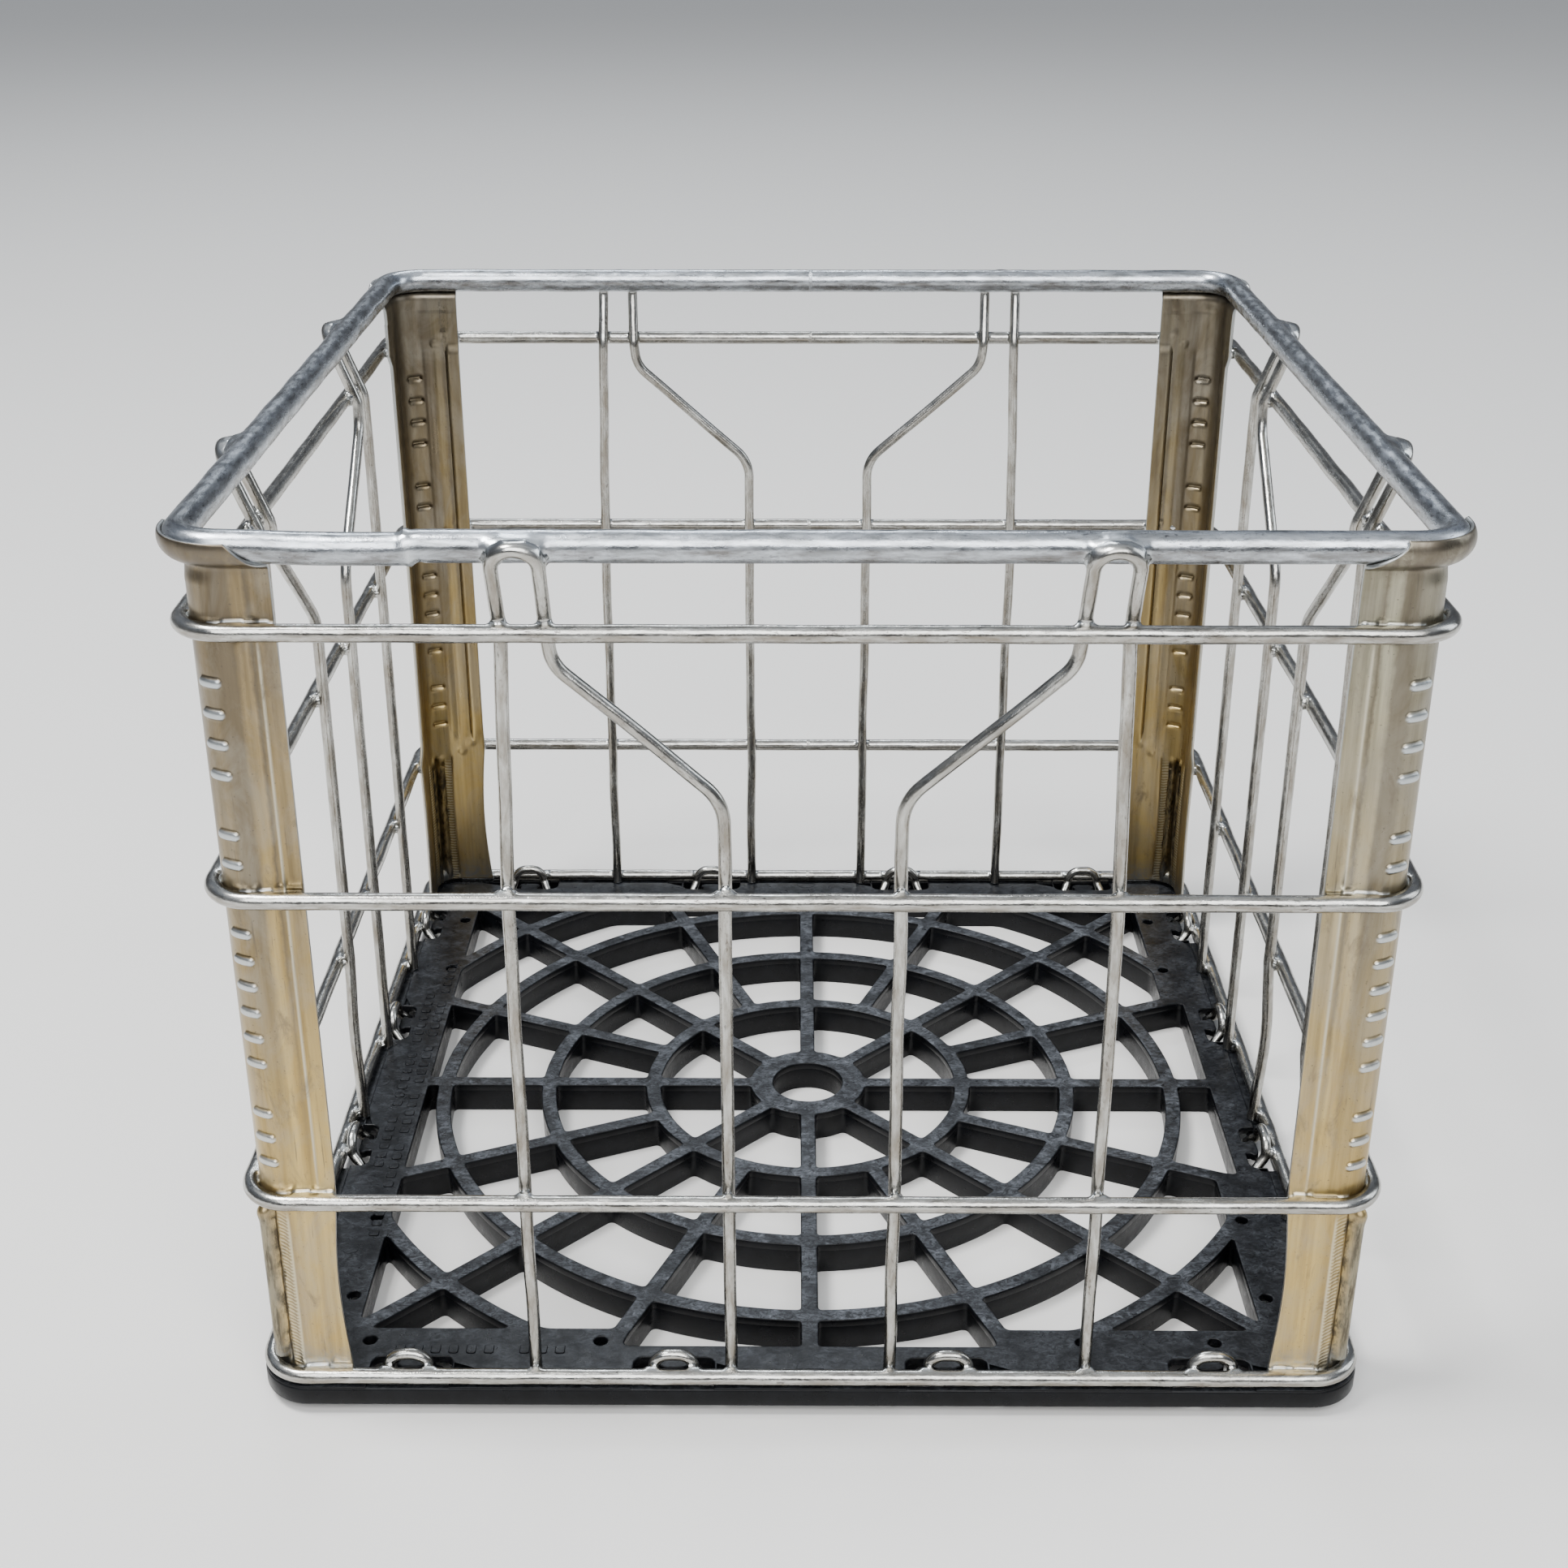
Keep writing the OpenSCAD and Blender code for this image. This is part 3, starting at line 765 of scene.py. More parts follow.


# The light and the dark of each post's streaks, which differ from post to post
POST_TONES = {
    "corner_post_rear_right": ((0.20, 0.168, 0.108), (0.11, 0.091, 0.057)),
    "corner_post_rear_left": ((0.20, 0.165, 0.105), (0.11, 0.090, 0.055)),
    "corner_post_front_left": ((0.255, 0.196, 0.110), (0.14, 0.106, 0.058)),
    "corner_post_front_right": ((0.40, 0.375, 0.275), (0.22, 0.205, 0.147)),
}


# ---------------------------------------------------------------- base grid, from outlines

RIB_W = 5.4
ROUND_RIBS = (56.5, 94.5, 132.5, 164.0)
HUB_R, HUB_HOLE_R = 21.0, 12.7
FRAME_IN, FRAME_IN_MID, NARROW_U = 139.0, 147.0, 57.0
WALL_T = 3.0
PLATE_LOW_Z = PLATE_Z - 2.6
PLATE_OUT = POST_OUT - 1.9
SLOT_HALF, SLOT_IN, SLOT_R = 12.2, 152.3, 3.0
TONGUE_HALF, TONGUE_END = 3.5, 157.0
PIN_R = 2.0
PIN_HOLES = [(side, u, 143.5) for side in ("right", "rear", "left") for u in (-123.5, -83, 83, 123.5)]
PIN_HOLES += [("front", u, 144.9) for u in (-134.5, -64, 83, 123.5)]
# Side, first and last u, lowest and highest v, and every how many bars one is left out
BAR_ROWS = [("front", -126, -71, 147.2, 151.0, 7), ("left", -88, 96, 141.2, 144.6, 6),
            ("left", -62, 62, 146.6, 150.0, 8)]
BAR_PITCH, BAR_LENGTH = 5.4, 3.0
# The mould's round marks: a half one in the middle of each side, and two small ones on three sides
HALF_MARK_V, HALF_MARK_R = 157.6, 4.2
SMALL_MARK_U, SMALL_MARK_V, SMALL_MARK_R = 100, 149.0, 2.6
SKIRT_LOW_Z = BASE_Z - 9.0
LEDGE_Z = BASE_Z - RING_R - 0.1


def melt(a, b, k):
    """Smooth union of two fields."""
    h = np.clip(0.5 + 0.5 * (b - a) / k, 0, 1)
    return b * (1 - h) + a * h - k * h * (1 - h)


def box_field(x, y, low, high, r=0.0):
    cx, cy = (low[0] + high[0]) / 2, (low[1] + high[1]) / 2
    dx = np.abs(x - cx) - (high[0] - low[0]) / 2 + r
    dy = np.abs(y - cy) - (high[1] - low[1]) / 2 + r
    return np.hypot(np.maximum(dx, 0), np.maximum(dy, 0)) + np.minimum(np.maximum(dx, dy), 0) - r


def square_field(x, y, half, r):
    return box_field(x, y, (-half, -half), (half, half), r)


def side_frame(x, y, side):
    """u along one side and v outwards from the middle."""
    a = math.radians(SIDES[side])
    c, s = math.cos(a), math.sin(a)
    return x * c + y * s, x * s - y * c


def opening_field(x, y):
    """Negative inside the frame's opening, which is wider in the middle of three sides."""
    field = square_field(x, y, FRAME_IN, 2.0)
    for side in ("front", "right", "rear"):
        u, v = side_frame(x, y, side)
        field = melt(field, box_field(u, v, (-NARROW_U, 0), (NARROW_U, FRAME_IN_MID), 2.0), 1.2)
    return field


def nowhere(x):
    """A field with nothing in it yet."""
    return np.full(np.shape(x), 1e3)


def spoke_field(x, y):
    """The straight ribs. Every other one starts at the first round rib and not at the hub."""
    best = nowhere(x)
    for i in range(16):
        a = math.radians(22.5 * i)
        along, across = x * math.cos(a) + y * math.sin(a), -x * math.sin(a) + y * math.cos(a)
        start = HUB_R - 2 if i % 2 == 0 else ROUND_RIBS[0]
        best = np.minimum(best, np.maximum(np.abs(across) - RIB_W / 2, start - along))
    return best


def rib_field(x, y):
    r = np.hypot(x, y)
    field = melt(spoke_field(x, y), r - HUB_R, 1.6)
    for radius in ROUND_RIBS:
        field = melt(field, np.abs(r - radius) - RIB_W / 2, 1.6)
    return field


def slot_field(x, y):
    """The staples' slots, each with a barbed tongue of plastic in its middle."""
    best = nowhere(x)
    for side in SIDES:
        u, v = side_frame(x, y, side)
        for centre in STAPLE_U:
            slot = box_field(u - centre, v, (-SLOT_HALF, SLOT_IN), (SLOT_HALF, SLOT_IN + 20), SLOT_R)
            tongue = box_field(u - centre, v, (-TONGUE_HALF, SLOT_IN - 6), (TONGUE_HALF, TONGUE_END), 1.0)
            barb = box_field(u - centre, v, (-TONGUE_HALF - 0.9, TONGUE_END - 2.6),
                             (TONGUE_HALF + 0.9, TONGUE_END - 0.6), 0.7)
            best = np.minimum(best, np.maximum(slot, -melt(tongue, barb, 0.8)))
    return best


def hole_field(x, y):
    best = np.hypot(x, y) - HUB_HOLE_R
    for side, u0, v0 in PIN_HOLES:
        u, v = side_frame(x, y, side)
        best = np.minimum(best, np.hypot(u - u0, v - v0) - PIN_R)
    return best


def plate_field(x, y):
    field = melt(rib_field(x, y), -opening_field(x, y), 1.6)
    field = np.maximum(field, square_field(x, y, PLATE_OUT, 8.0))
    field = np.maximum(field, -slot_field(x, y))
    return np.maximum(field, -hole_field(x, y))


def web_field(x, y):
    opening = opening_field(x, y)
    field = melt(rib_field(x, y), np.maximum(-opening, opening - WALL_T), 1.6)
    return np.maximum(np.maximum(field, opening - WALL_T), -hole_field(x, y))


def under_rib_field(x, y):
    field = np.maximum(spoke_field(x, y) + 0.8, WALL_T - 0.5 - opening_field(x, y))
    return np.maximum(field, square_field(x, y, RING_OUT - 2.0, 13.0))


def ledge_field(x, y):
    field = np.maximum(square_field(x, y, RING_OUT - 0.25, 15.2), -square_field(x, y, PLATE_OUT - 2.5, 6.0))
    return np.maximum(field, -slot_field(x, y))


def skirt_field(x, y):
    return np.maximum(square_field(x, y, RING_OUT, 15.4), -square_field(x, y, RING_OUT - 2.5, 12.9))


TOLERANCE = 0.021  # how far an outline may run from its grid's crossings


def thinned(loop):
    """The points of a closed line that its shape needs."""
    keep = np.zeros(len(loop), bool)
    half = len(loop) // 2
    keep[[0, half]] = True
    stack = [(0, half), (half, len(loop))]
    closed = np.vstack([loop, loop[:1]])
    while stack:
        a, b = stack.pop()
        if b - a < 2:
            continue
        start, line = closed[a], closed[b] - closed[a]
        rest = closed[a + 1:b] - start
        length = np.hypot(*line)
        off = np.abs(rest[:, 0] * line[1] - rest[:, 1] * line[0]) / max(length, 1e-9)
        worst = int(np.argmax(off))
        if off[worst] > TOLERANCE or length > 12:
            middle = a + 1 + (worst if off[worst] > TOLERANCE else (b - a) // 2 - 1)
            keep[middle] = True
            stack += [(a, middle), (middle, b)]
    return loop[keep]


CELL_EDGES = {"s": ((0, 0), (1, 0)), "e": ((1, 0), (1, 1)), "n": ((0, 1), (1, 1)), "w": ((0, 0), (0, 1))}
# Which corners of a cell are inside (1 2 4 8, as a sum), and the edges that the outline joins in it
CELL_LINES = {1: ["ws"], 2: ["se"], 3: ["we"], 4: ["en"], 6: ["sn"], 7: ["wn"], 8: ["nw"], 9: ["ns"],
              11: ["ne"], 12: ["ew"], 13: ["es"], 14: ["sw"], 5: ["ws", "en"], 10: ["se", "nw"]}


def cell_links(field, step):
    """Points where grid lines cross a field's zero, and which of them an outline joins."""
    axis = np.arange(-RING_OUT - 3, RING_OUT + 3 + step, step) + 0.013
    f = field(*np.meshgrid(axis, axis, indexing="ij"))
    inside = f < 0
    cells = inside[:-1, :-1] * 1 + inside[1:, :-1] * 2 + inside[1:, 1:] * 4 + inside[:-1, 1:] * 8
    links, places = {}, {}
    for i, j in zip(*np.nonzero((cells > 0) & (cells < 15))):
        for pair in CELL_LINES[int(cells[i, j])]:
            keys = []
            for edge in pair:
                (a, b), (c, d) = CELL_EDGES[edge]
                key = (i + a, j + b, i + c, j + d)
                t = f[key[:2]] / (f[key[:2]] - f[key[2:]])
                places[key] = (axis[key[0]] + t * (axis[key[2]] - axis[key[0]]),
                               axis[key[1]] + t * (axis[key[3]] - axis[key[1]]))
                keys.append(key)
            links.setdefault(keys[0], []).append(keys[1])
            links.setdefault(keys[1], []).append(keys[0])
    return links, places


def outlines(field, step):
    """Closed lines where a field is zero, found cell by cell on a fine grid."""
    links, places = cell_links(field, step)
    loops, used = [], set()
    for start in links:
        loop, at = [], start
        while at not in used:
            used.add(at)
            loop.append(places[at])
            at = next((k for k in links[at] if k not in used), at)
        if len(loop) > 8:
            loops.append(thinned(np.array(loop)))
    return loops


def inset(points, field, amount):
    """Moves outline points into the material."""
    e = 0.05
    x, y = points[:, 0], points[:, 1]
    slope = np.stack([field(x + e, y) - field(x - e, y), field(x, y + e) - field(x, y - e)], axis=1)
    return points - unit(slope) * amount


def is_inside(points, loops):
    """Which points lie inside an odd number of the loops."""
    inside = np.zeros(len(points), bool)
    for loop in loops:
        a, b = loop, np.roll(loop, -1, axis=0)
        low, high = loop.min(axis=0), loop.max(axis=0)
        near = np.nonzero(np.all((points >= low) & (points <= high), axis=1))[0]
        if not len(near):
            continue
        px, py = points[near, 0][:, None], points[near, 1][:, None]
        crosses = (a[None, :, 1] > py) != (b[None, :, 1] > py)
        with np.errstate(divide="ignore", invalid="ignore"):
            at = a[None, :, 0] + (py - a[None, :, 1]) / (b[None, :, 1] - a[None, :, 1]) * (b - a)[None, :, 0]
        inside[near] ^= (crosses & (px < at)).sum(axis=1) % 2 == 1
    return inside


def filled(loops, offset):
    """Triangles that fill outlines, as indices into their points counted from offset."""
    edges, start = [], 0
    for loop in loops:
        n = len(loop)
        edges += [(start + k, start + (k + 1) % n) for k in range(n)]
        start += n
    points = [tuple(p) for p in np.concatenate(loops)]
    places, _, triangles, origins, *_ = delaunay_2d_cdt(points, edges, [], 0, 1e-6, True)
    places, triangles = np.array(places), np.array(triangles)
    to_input = np.array([o[0] if o else -1 for o in origins])
    keep = is_inside(places[triangles].mean(axis=1), loops) & np.all(to_input[triangles] >= 0, axis=1)
    return [tuple(int(v) + offset for v in to_input[t]) for t in triangles[keep]]


def slab(field, low_z, high_z, top_round, low_round, draft=0.0, step=0.5):
    """A closed moulded slab with the outline that a field gives, its top and bottom edges rounded.

    draft is how much thinner each rib is at its foot, on each side."""
    loops = outlines(field, step)
    levels = [(top_round + 0.15, high_z)]
    for a in (0, 30, 60, 90):
        c, s = math.cos(math.radians(a)), math.sin(math.radians(a))
        levels.append((top_round * (1 - s), high_z - top_round * (1 - c)))
    for a in (90, 45, 0):
        c, s = math.cos(math.radians(a)), math.sin(math.radians(a))
        levels.append((draft + low_round * (1 - s), low_z + low_round * (1 - c)))
    levels.append((draft + low_round + 0.15, low_z))
    points, faces, count = [], [], 0
    for k, (amount, z) in enumerate(levels):
        moved = [inset(loop, field, amount) for loop in loops]
        points += [np.column_stack([m, np.full(len(m), z)]) for m in moved]
        size = sum(len(m) for m in moved)
        if k:
            start = count
            for loop in loops:
                n = len(loop)
                for i in range(n):
                    j = (i + 1) % n
                    faces.append((start + i - size, start + j - size, start + j, start + i))
                start += n
        if k in (0, len(levels) - 1):
            faces += filled(moved, count)
        count += size
    return np.concatenate(points), faces


def joined(parts):
    points, faces, count = [], [], 0
    for p, f in parts:
        points.append(p)
        faces += [tuple(v + count for v in face) for face in f]
        count += len(p)
    return np.concatenate(points), faces


def base_mesh():
    """The whole base, of slabs that reach a little into each other."""
    parts = [
        slab(plate_field, PLATE_LOW_Z, PLATE_Z, 0.5, 0.15),
        slab(web_field, 0.0, PLATE_LOW_Z + 0.4, 0.45, 0.4, draft=0.35),
        slab(under_rib_field, SKIRT_LOW_Z, PLATE_LOW_Z + 0.3, 0.1, 0.3, draft=0.2, step=0.8),
        slab(ledge_field, LEDGE_Z - 2.4, LEDGE_Z, 0.3, 0.3),
        slab(skirt_field, SKIRT_LOW_Z, LEDGE_Z - 0.3, 0.9, 0.7, step=0.8),
        slab(bar_field, PLATE_Z - 0.5, PLATE_Z + 0.35, 0.25, 0.1, step=0.4),
        slab(disc_field, PLATE_Z - 0.5, PLATE_Z + 0.12, 0.1, 0.1, step=0.4),
    ]
    points, faces = joined(parts)
    return outward_faces(add_mesh("base_moulding", points, faces, sharp=40))


def bar_field(x, y):
    """Plain low bars where rows of lettering stood on two sides of the frame."""
    best = nowhere(x)
    for side, first, last, low, high, gap in BAR_ROWS:
        u, v = side_frame(x, y, side)
        for i in range(int((last - first) / BAR_PITCH)):
            if i % gap != gap - 1:
                at = first + BAR_PITCH * i
                best = np.minimum(best, box_field(u, v, (at, low), (at + BAR_LENGTH, high), 0.7))
    return best


def disc_field(x, y):
    """The faint round marks that the mould's pins left on each side."""
    best = nowhere(x)
    for side in SIDES:
        u, v = side_frame(x, y, side)
        best = np.minimum(best, np.maximum(np.hypot(u, v - HALF_MARK_V) - HALF_MARK_R, v - HALF_MARK_V))
        if side != "front":
            best = np.minimum(best, np.hypot(np.abs(u) - SMALL_MARK_U, v - SMALL_MARK_V) - SMALL_MARK_R)
    return best


# ---------------------------------------------------------------- materials

class Looks:
    """A material whose nodes are added one call at a time. A value may be a number or a socket."""

    def __init__(self, name):
        self.material = bpy.data.materials.new(name)
        self.material.use_nodes = True
        self.nodes, self.links = self.material.node_tree.nodes, self.material.node_tree.links
        self.nodes.clear()
        self.where = self.add("ShaderNodeTexCoord").outputs["Object"]

    def put(self, value, socket):
        if isinstance(value, bpy.types.NodeSocket):
            self.links.new(value, socket)
        elif socket.type == "RGBA":
            socket.default_value = (*value, 1)
        else:
            socket.default_value = value

    def add(self, kind, inputs=(), **settings):
        node = self.nodes.new(kind)
        for key, value in settings.items():
            setattr(node, key, value)
        for key, value in dict(inputs).items():
            self.put(value, node.inputs[key])
        return node

    def attribute(self, name, output):
        return self.add("ShaderNodeAttribute", attribute_name=name).outputs[output]

    def part(self, vector, axis):
        return self.add("ShaderNodeSeparateXYZ", {"Vector": vector}).outputs[axis]

    def normal_z(self):
        return self.part(self.add("ShaderNodeNewGeometry").outputs["Normal"], "Z")

    def noise(self, size, detail=3.0, rough=0.55, stretch=(1, 1, 1), shift=0.0, twist=0.0):
        """Noise 0 to 1 whose blots are about size millimetres, stretched along the axes."""
        scale = [1 / (size * MM * s) for s in stretch]
        place = self.add("ShaderNodeMapping", {"Vector": self.where, "Scale": scale,
                                               "Location": (shift, shift * 0.7, shift * 1.3)})
        return self.add("ShaderNodeTexNoise", {"Vector": place.outputs["Vector"], "Scale": 1.0,
                                               "Detail": detail, "Roughness": rough,
                                               "Distortion": twist}).outputs["Fac"]

    def steps(self, value, stops):
        """A float that runs through the stops, each a position and a value."""
        ramp = self.add("ShaderNodeValToRGB", {"Fac": value})
        while len(ramp.color_ramp.elements) < len(stops):
            ramp.color_ramp.elements.new(0.5)
        for element, (at, level) in zip(ramp.color_ramp.elements, stops):
            element.position = at
            element.color = (level, level, level, 1)
        return ramp.outputs["Color"]

    def blots(self, stops, *noise, **more):
        """Noise sharpened by stops."""
        return self.steps(self.noise(*noise, **more), stops)

    def ramp(self, length, *stops):
        """A float that runs through the stops, each a length in millimetres and a value."""
        low, high = stops[0][0], stops[-1][0]
        share = self.math("DIVIDE", self.math("SUBTRACT", length, low * MM), (high - low) * MM)
        return self.steps(share, [((at - low) / (high - low), level) for at, level in stops])

    def math(self, operation, first, second=0.0):
        node = self.add("ShaderNodeMath", operation=operation)
        self.put(first, node.inputs[0])
        self.put(second, node.inputs[1])
        return node.outputs[0]

    def times(self, first, *others):
        for other in others:
            first = self.math("MULTIPLY", first, other)
        return first

    def blend(self, amount, first, second):
        node = self.add("ShaderNodeMix", data_type="RGBA")
        for name, value in (("Factor_Float", amount), ("A_Color", first), ("B_Color", second)):
            self.put(value, next(s for s in node.inputs if s.identifier == name))
        return next(s for s in node.outputs if s.identifier == "Result_Color")

    def painted(self, color, paint, *amounts):
        """The colour under a layer of paint, as thick as the product of the amounts."""
        return self.blend(self.times(*amounts), color, paint)

    def finished(self, bumps=None, strength=0.0, depth=0.0, **inputs):
        """The material, with bumps of a strength and a depth in millimetres."""
        named = {key.replace("_", " "): value for key, value in inputs.items()}
        if bumps is not None:
            named["Normal"] = self.add("ShaderNodeBump", {"Height": bumps, "Strength": strength,
                                                          "Distance": depth * MM}).outputs["Normal"]
        shader = self.add("ShaderNodeBsdfPrincipled", named)
        out = self.add("ShaderNodeOutputMaterial")
        self.links.new(shader.outputs["BSDF"], out.inputs["Surface"])
        return self.material


def galvanised(name, light, dark, fleck, under_side, rough):
    """Zinc coat on wire: pale with darker mottling, fine flecks, fresh-looking welds, and painted shade on
    the faces that turn sideways or down.
    """
    look = Looks(name)
    look.where = look.attribute("flow", "Vector")
    mottle = look.blots([(0.38, 0), (0.64, 1)], 2.6, 4, 0.62, (5, 1, 1), twist=0.5)
    patches = look.blots([(0.42, 0.1), (0.62, 1)], 9, 3, 0.6, (3, 0.6, 0.6), 7.7)
    flecks = look.blots([(0.57, 0), (0.66, 1)], 0.9, 3, 0.7, (2.6, 1, 1), 3.1)
    shade_patches = look.blots([(0.42, 0.15), (0.66, 0.75)], 3, 4, 0.65, (4, 1, 1), 1.9)
    # Painted shade: faces turned sideways or down are darkened, in patches, towards the under_side colour.
    under = look.steps(look.normal_z(), [(0.0, 1), (0.35, 0)])
    color = look.blend(mottle, light, dark)
    color = look.painted(color, fleck, flecks, look.times(patches, 0.85))
    color = look.painted(color, under_side, under, shade_patches)
    color = look.painted(color, (0.74, 0.78, 0.80), look.attribute("zinc", "Fac"), 0.6)
    roughness = look.blots([(0.3, rough - 0.08), (0.7, rough + 0.10)], 2, 3, 0.6, (3, 1, 1), 5.5)
    fine = look.times(look.noise(0.5, 2, shift=2.2), 0.35)
    lumps = look.math("ADD", look.noise(1.5, 3, 0.6, (2.5, 1, 1), 9.4), fine)
    return look.finished(lumps, 0.5, 0.14, Base_Color=color, Metallic=1.0, Roughness=roughness)


# Marks all over the sheet: how they sharpen, their noise, how thick they are and their colour
SHEET_MARKS = [
    ([(0.42, 0), (0.64, 1)], (13, 5, 0.65, (1, 1, 2.2), 4.2, 0.8), 0.35, (0.34, 0.32, 0.27)),  # clouds
    ([(0.57, 0), (0.72, 1)], (6, 5, 0.7, (1, 1, 2.5), 8.8, 0.5), 0.6, (0.13, 0.105, 0.075)),  # stains
    ([(0.66, 0), (0.71, 1)], (0.8, 3, 0.6, (1, 1, 26), 6.3), 0.55, (0.09, 0.08, 0.07)),  # scratches
    ([(0.69, 0), (0.73, 1)], (0.9, 2, 0.6, (1, 1, 1), 6.3), 0.6, (0.08, 0.07, 0.06)),  # specks
]
CHATTER_PITCH = 1.25


def streaked(look, height, across, wavy, light, dark):
    """The sheet's streaks, bands of painted shade down its length, and a painted highlight along its set-back
    step.
    """
    streak = look.blots([(0.36, 0), (0.66, 1)], 2.6, 4, 0.6, (1, 1, 22))
    upper = look.blend(streak, light, dark)
    lower = look.blend(streak, (0.53, 0.385, 0.150), (0.36, 0.25, 0.092))
    color = look.blend(look.ramp(height, (LOWER_Z + 20, 0), (UPPER_Z - 10, 1)), lower, upper)
    # Painted shade: dark bands at set distances across the sheet, widest down the round corner, weaker
    # towards the lower ring.
    shade_bands = look.ramp(look.math("ADD", across, look.times(wavy, 0.6)),
                      (0, 0.5), (4.5, 0.55), (7, 0.9), (10.6, 0.85), (12.2, 0.0), (14.4, 0.0), (15.4, 0.95),
                      (16.4, 0.4), (17.4, 0.1), (19, 0.4), (22, 0.2))
    shade_bands = look.times(shade_bands, look.ramp(height, (LOWER_Z + 10, 0.25), (MIDDLE_Z, 1)))
    color = look.painted(color, (0.115, 0.095, 0.068), shade_bands, 0.9)
    between = look.ramp(height, (LOWER_Z, 0), (LOWER_Z + 12, 1), (UPPER_Z - 6, 1), (UPPER_Z - 3, 0))
    # Painted highlight: a thin pale line along the set-back step, between the lower and the upper ring.
    step_highlight = look.ramp(across, (16.4, 0), (16.9, 1), (17.4, 0))
    return look.painted(color, (0.60, 0.56, 0.44), step_highlight, between, 0.8)


def round_the_bead(look, color, low, across, wavy):
    """Dirt in the groove, the worn bead and a painted highlight along the crease beside it. low is 1 under
    the lower ring.
    """
    groove = look.ramp(look.math("ADD", across, wavy), (GROOVE_S - 1.2, 0), (GROOVE_S - 0.5, 1),
                       (GROOVE_S + 1.2, 1), (GROOVE_S + 1.7, 0))
    torn = look.blots([(0.40, 0.2), (0.55, 1)], 3, 5, 0.7, (1, 1, 3), 21.0)
    color = look.painted(color, (0.035, 0.028, 0.02), groove, low, torn, 0.9)
    bead = look.times(look.ramp(across, (GROOVE_S - 1.3, 1), (GROOVE_S - 0.5, 0)), low)
    color = look.painted(color, (0.23, 0.215, 0.165), bead, 0.8)
    torn_bead = look.blots([(0.46, 0), (0.60, 1)], 1.7, 5, 0.7, (1, 1, 7), 31.0)
    color = look.painted(color, (0.05, 0.042, 0.032), bead, torn_bead, 0.75)
    # Painted highlight: a pale line along the crease.
    crease_highlight = look.ramp(across, (CREASE_S - 0.8, 0), (CREASE_S, 1), (CREASE_S + 0.5, 0))
    return look.painted(color, (0.62, 0.56, 0.40), crease_highlight, low, 0.7)


def smoked(look, color, height):
    """Smoke from the welding at the foot, a darker tone over the collar, and the weld zinc with the painted
    highlight on the raised bars.
    """
    blotchy = look.blots([(0.38, 0.25), (0.62, 0.9)], 4, 5, 0.7, shift=12.1, twist=1.0)
    at_foot = look.ramp(height, (BASE_Z + 3, 0.9), (BASE_Z + 11, 0))
    at_collar = look.ramp(height, (RIM_Z - 9, 0), (RIM_Z - 5, 1))
    color = look.painted(color, (0.25, 0.26, 0.255), at_foot, blotchy)
    # Darker over the collar, from just under its curl upwards, in blotches.
    color = look.painted(color, (0.13, 0.11, 0.085), at_collar, blotchy)
    # Pale weld zinc, which on the raised bars is a painted highlight.
    return look.painted(color, (0.60, 0.66, 0.70), look.attribute("zinc", "Fac"), 0.75)


def chatter_marks(look, low, height, across, wavy):
    """The waves that the cutter left between the groove and the crease, -1 to 1."""
    slanted = look.math("ADD", look.times(across, 0.25), look.times(wavy, 0.5))
    turns = look.times(look.math("ADD", height, slanted), 2 * math.pi / (CHATTER_PITCH * MM))
    wave = look.math("SINE", turns)
    band = look.ramp(across, (GROOVE_S + 1.0, 0), (GROOVE_S + 1.6, 1), (CREASE_S - 0.5, 1), (CREASE_S, 0))
    return look.times(wave, look.times(band, low))


def sheet_metal(name, light, dark):
    """Zinc coated sheet gone straw grey: streaks down it, dull patches, dirt in its grooves, and painted
    shade and painted highlights across it.
    """
    look = Looks(name)
    height = look.part(look.where, "Z")
    across = look.part(look.attribute("flow", "Vector"), "X")
    wavy = look.times(look.math("SUBTRACT", look.noise(5, 4, 0.7, shift=15.3), 0.5), 3 * MM)
    color = streaked(look, height, across, wavy, light, dark)
    for stops, noise, amount, paint in SHEET_MARKS:
        color = look.painted(color, paint, look.blots(stops, *noise), amount)
    low = look.ramp(height, (BEAD_TOP_Z - 5, 1), (BEAD_TOP_Z - 1, 0))
    color = smoked(look, round_the_bead(look, color, low, across, wavy), height)
    chatter = chatter_marks(look, low, height, across, wavy)
    # Painted highlight on the ripples' crests and painted shade in their troughs.
    color = look.painted(color, (0.66, 0.61, 0.44), look.math("MAXIMUM", chatter, 0.0), 0.45)
    color = look.painted(color, (0.12, 0.095, 0.05), look.math("MINIMUM", chatter, 0.0), -0.45)
    roughness = look.blots([(0.3, 0.26), (0.7, 0.44)], 5, 4, 0.6, (1, 1, 6), 2.7)
    fine = look.times(look.noise(0.8, 3, shift=3.3), 0.25)
    lumps = look.math("ADD", look.noise(4, 3, 0.6, (1, 1, 6), 1.2), fine)
    lumps = look.math("ADD", lumps, look.times(chatter, 0.5))
    return look.finished(lumps, 0.4, 0.14, Base_Color=color, Metallic=0.95, Roughness=roughness)


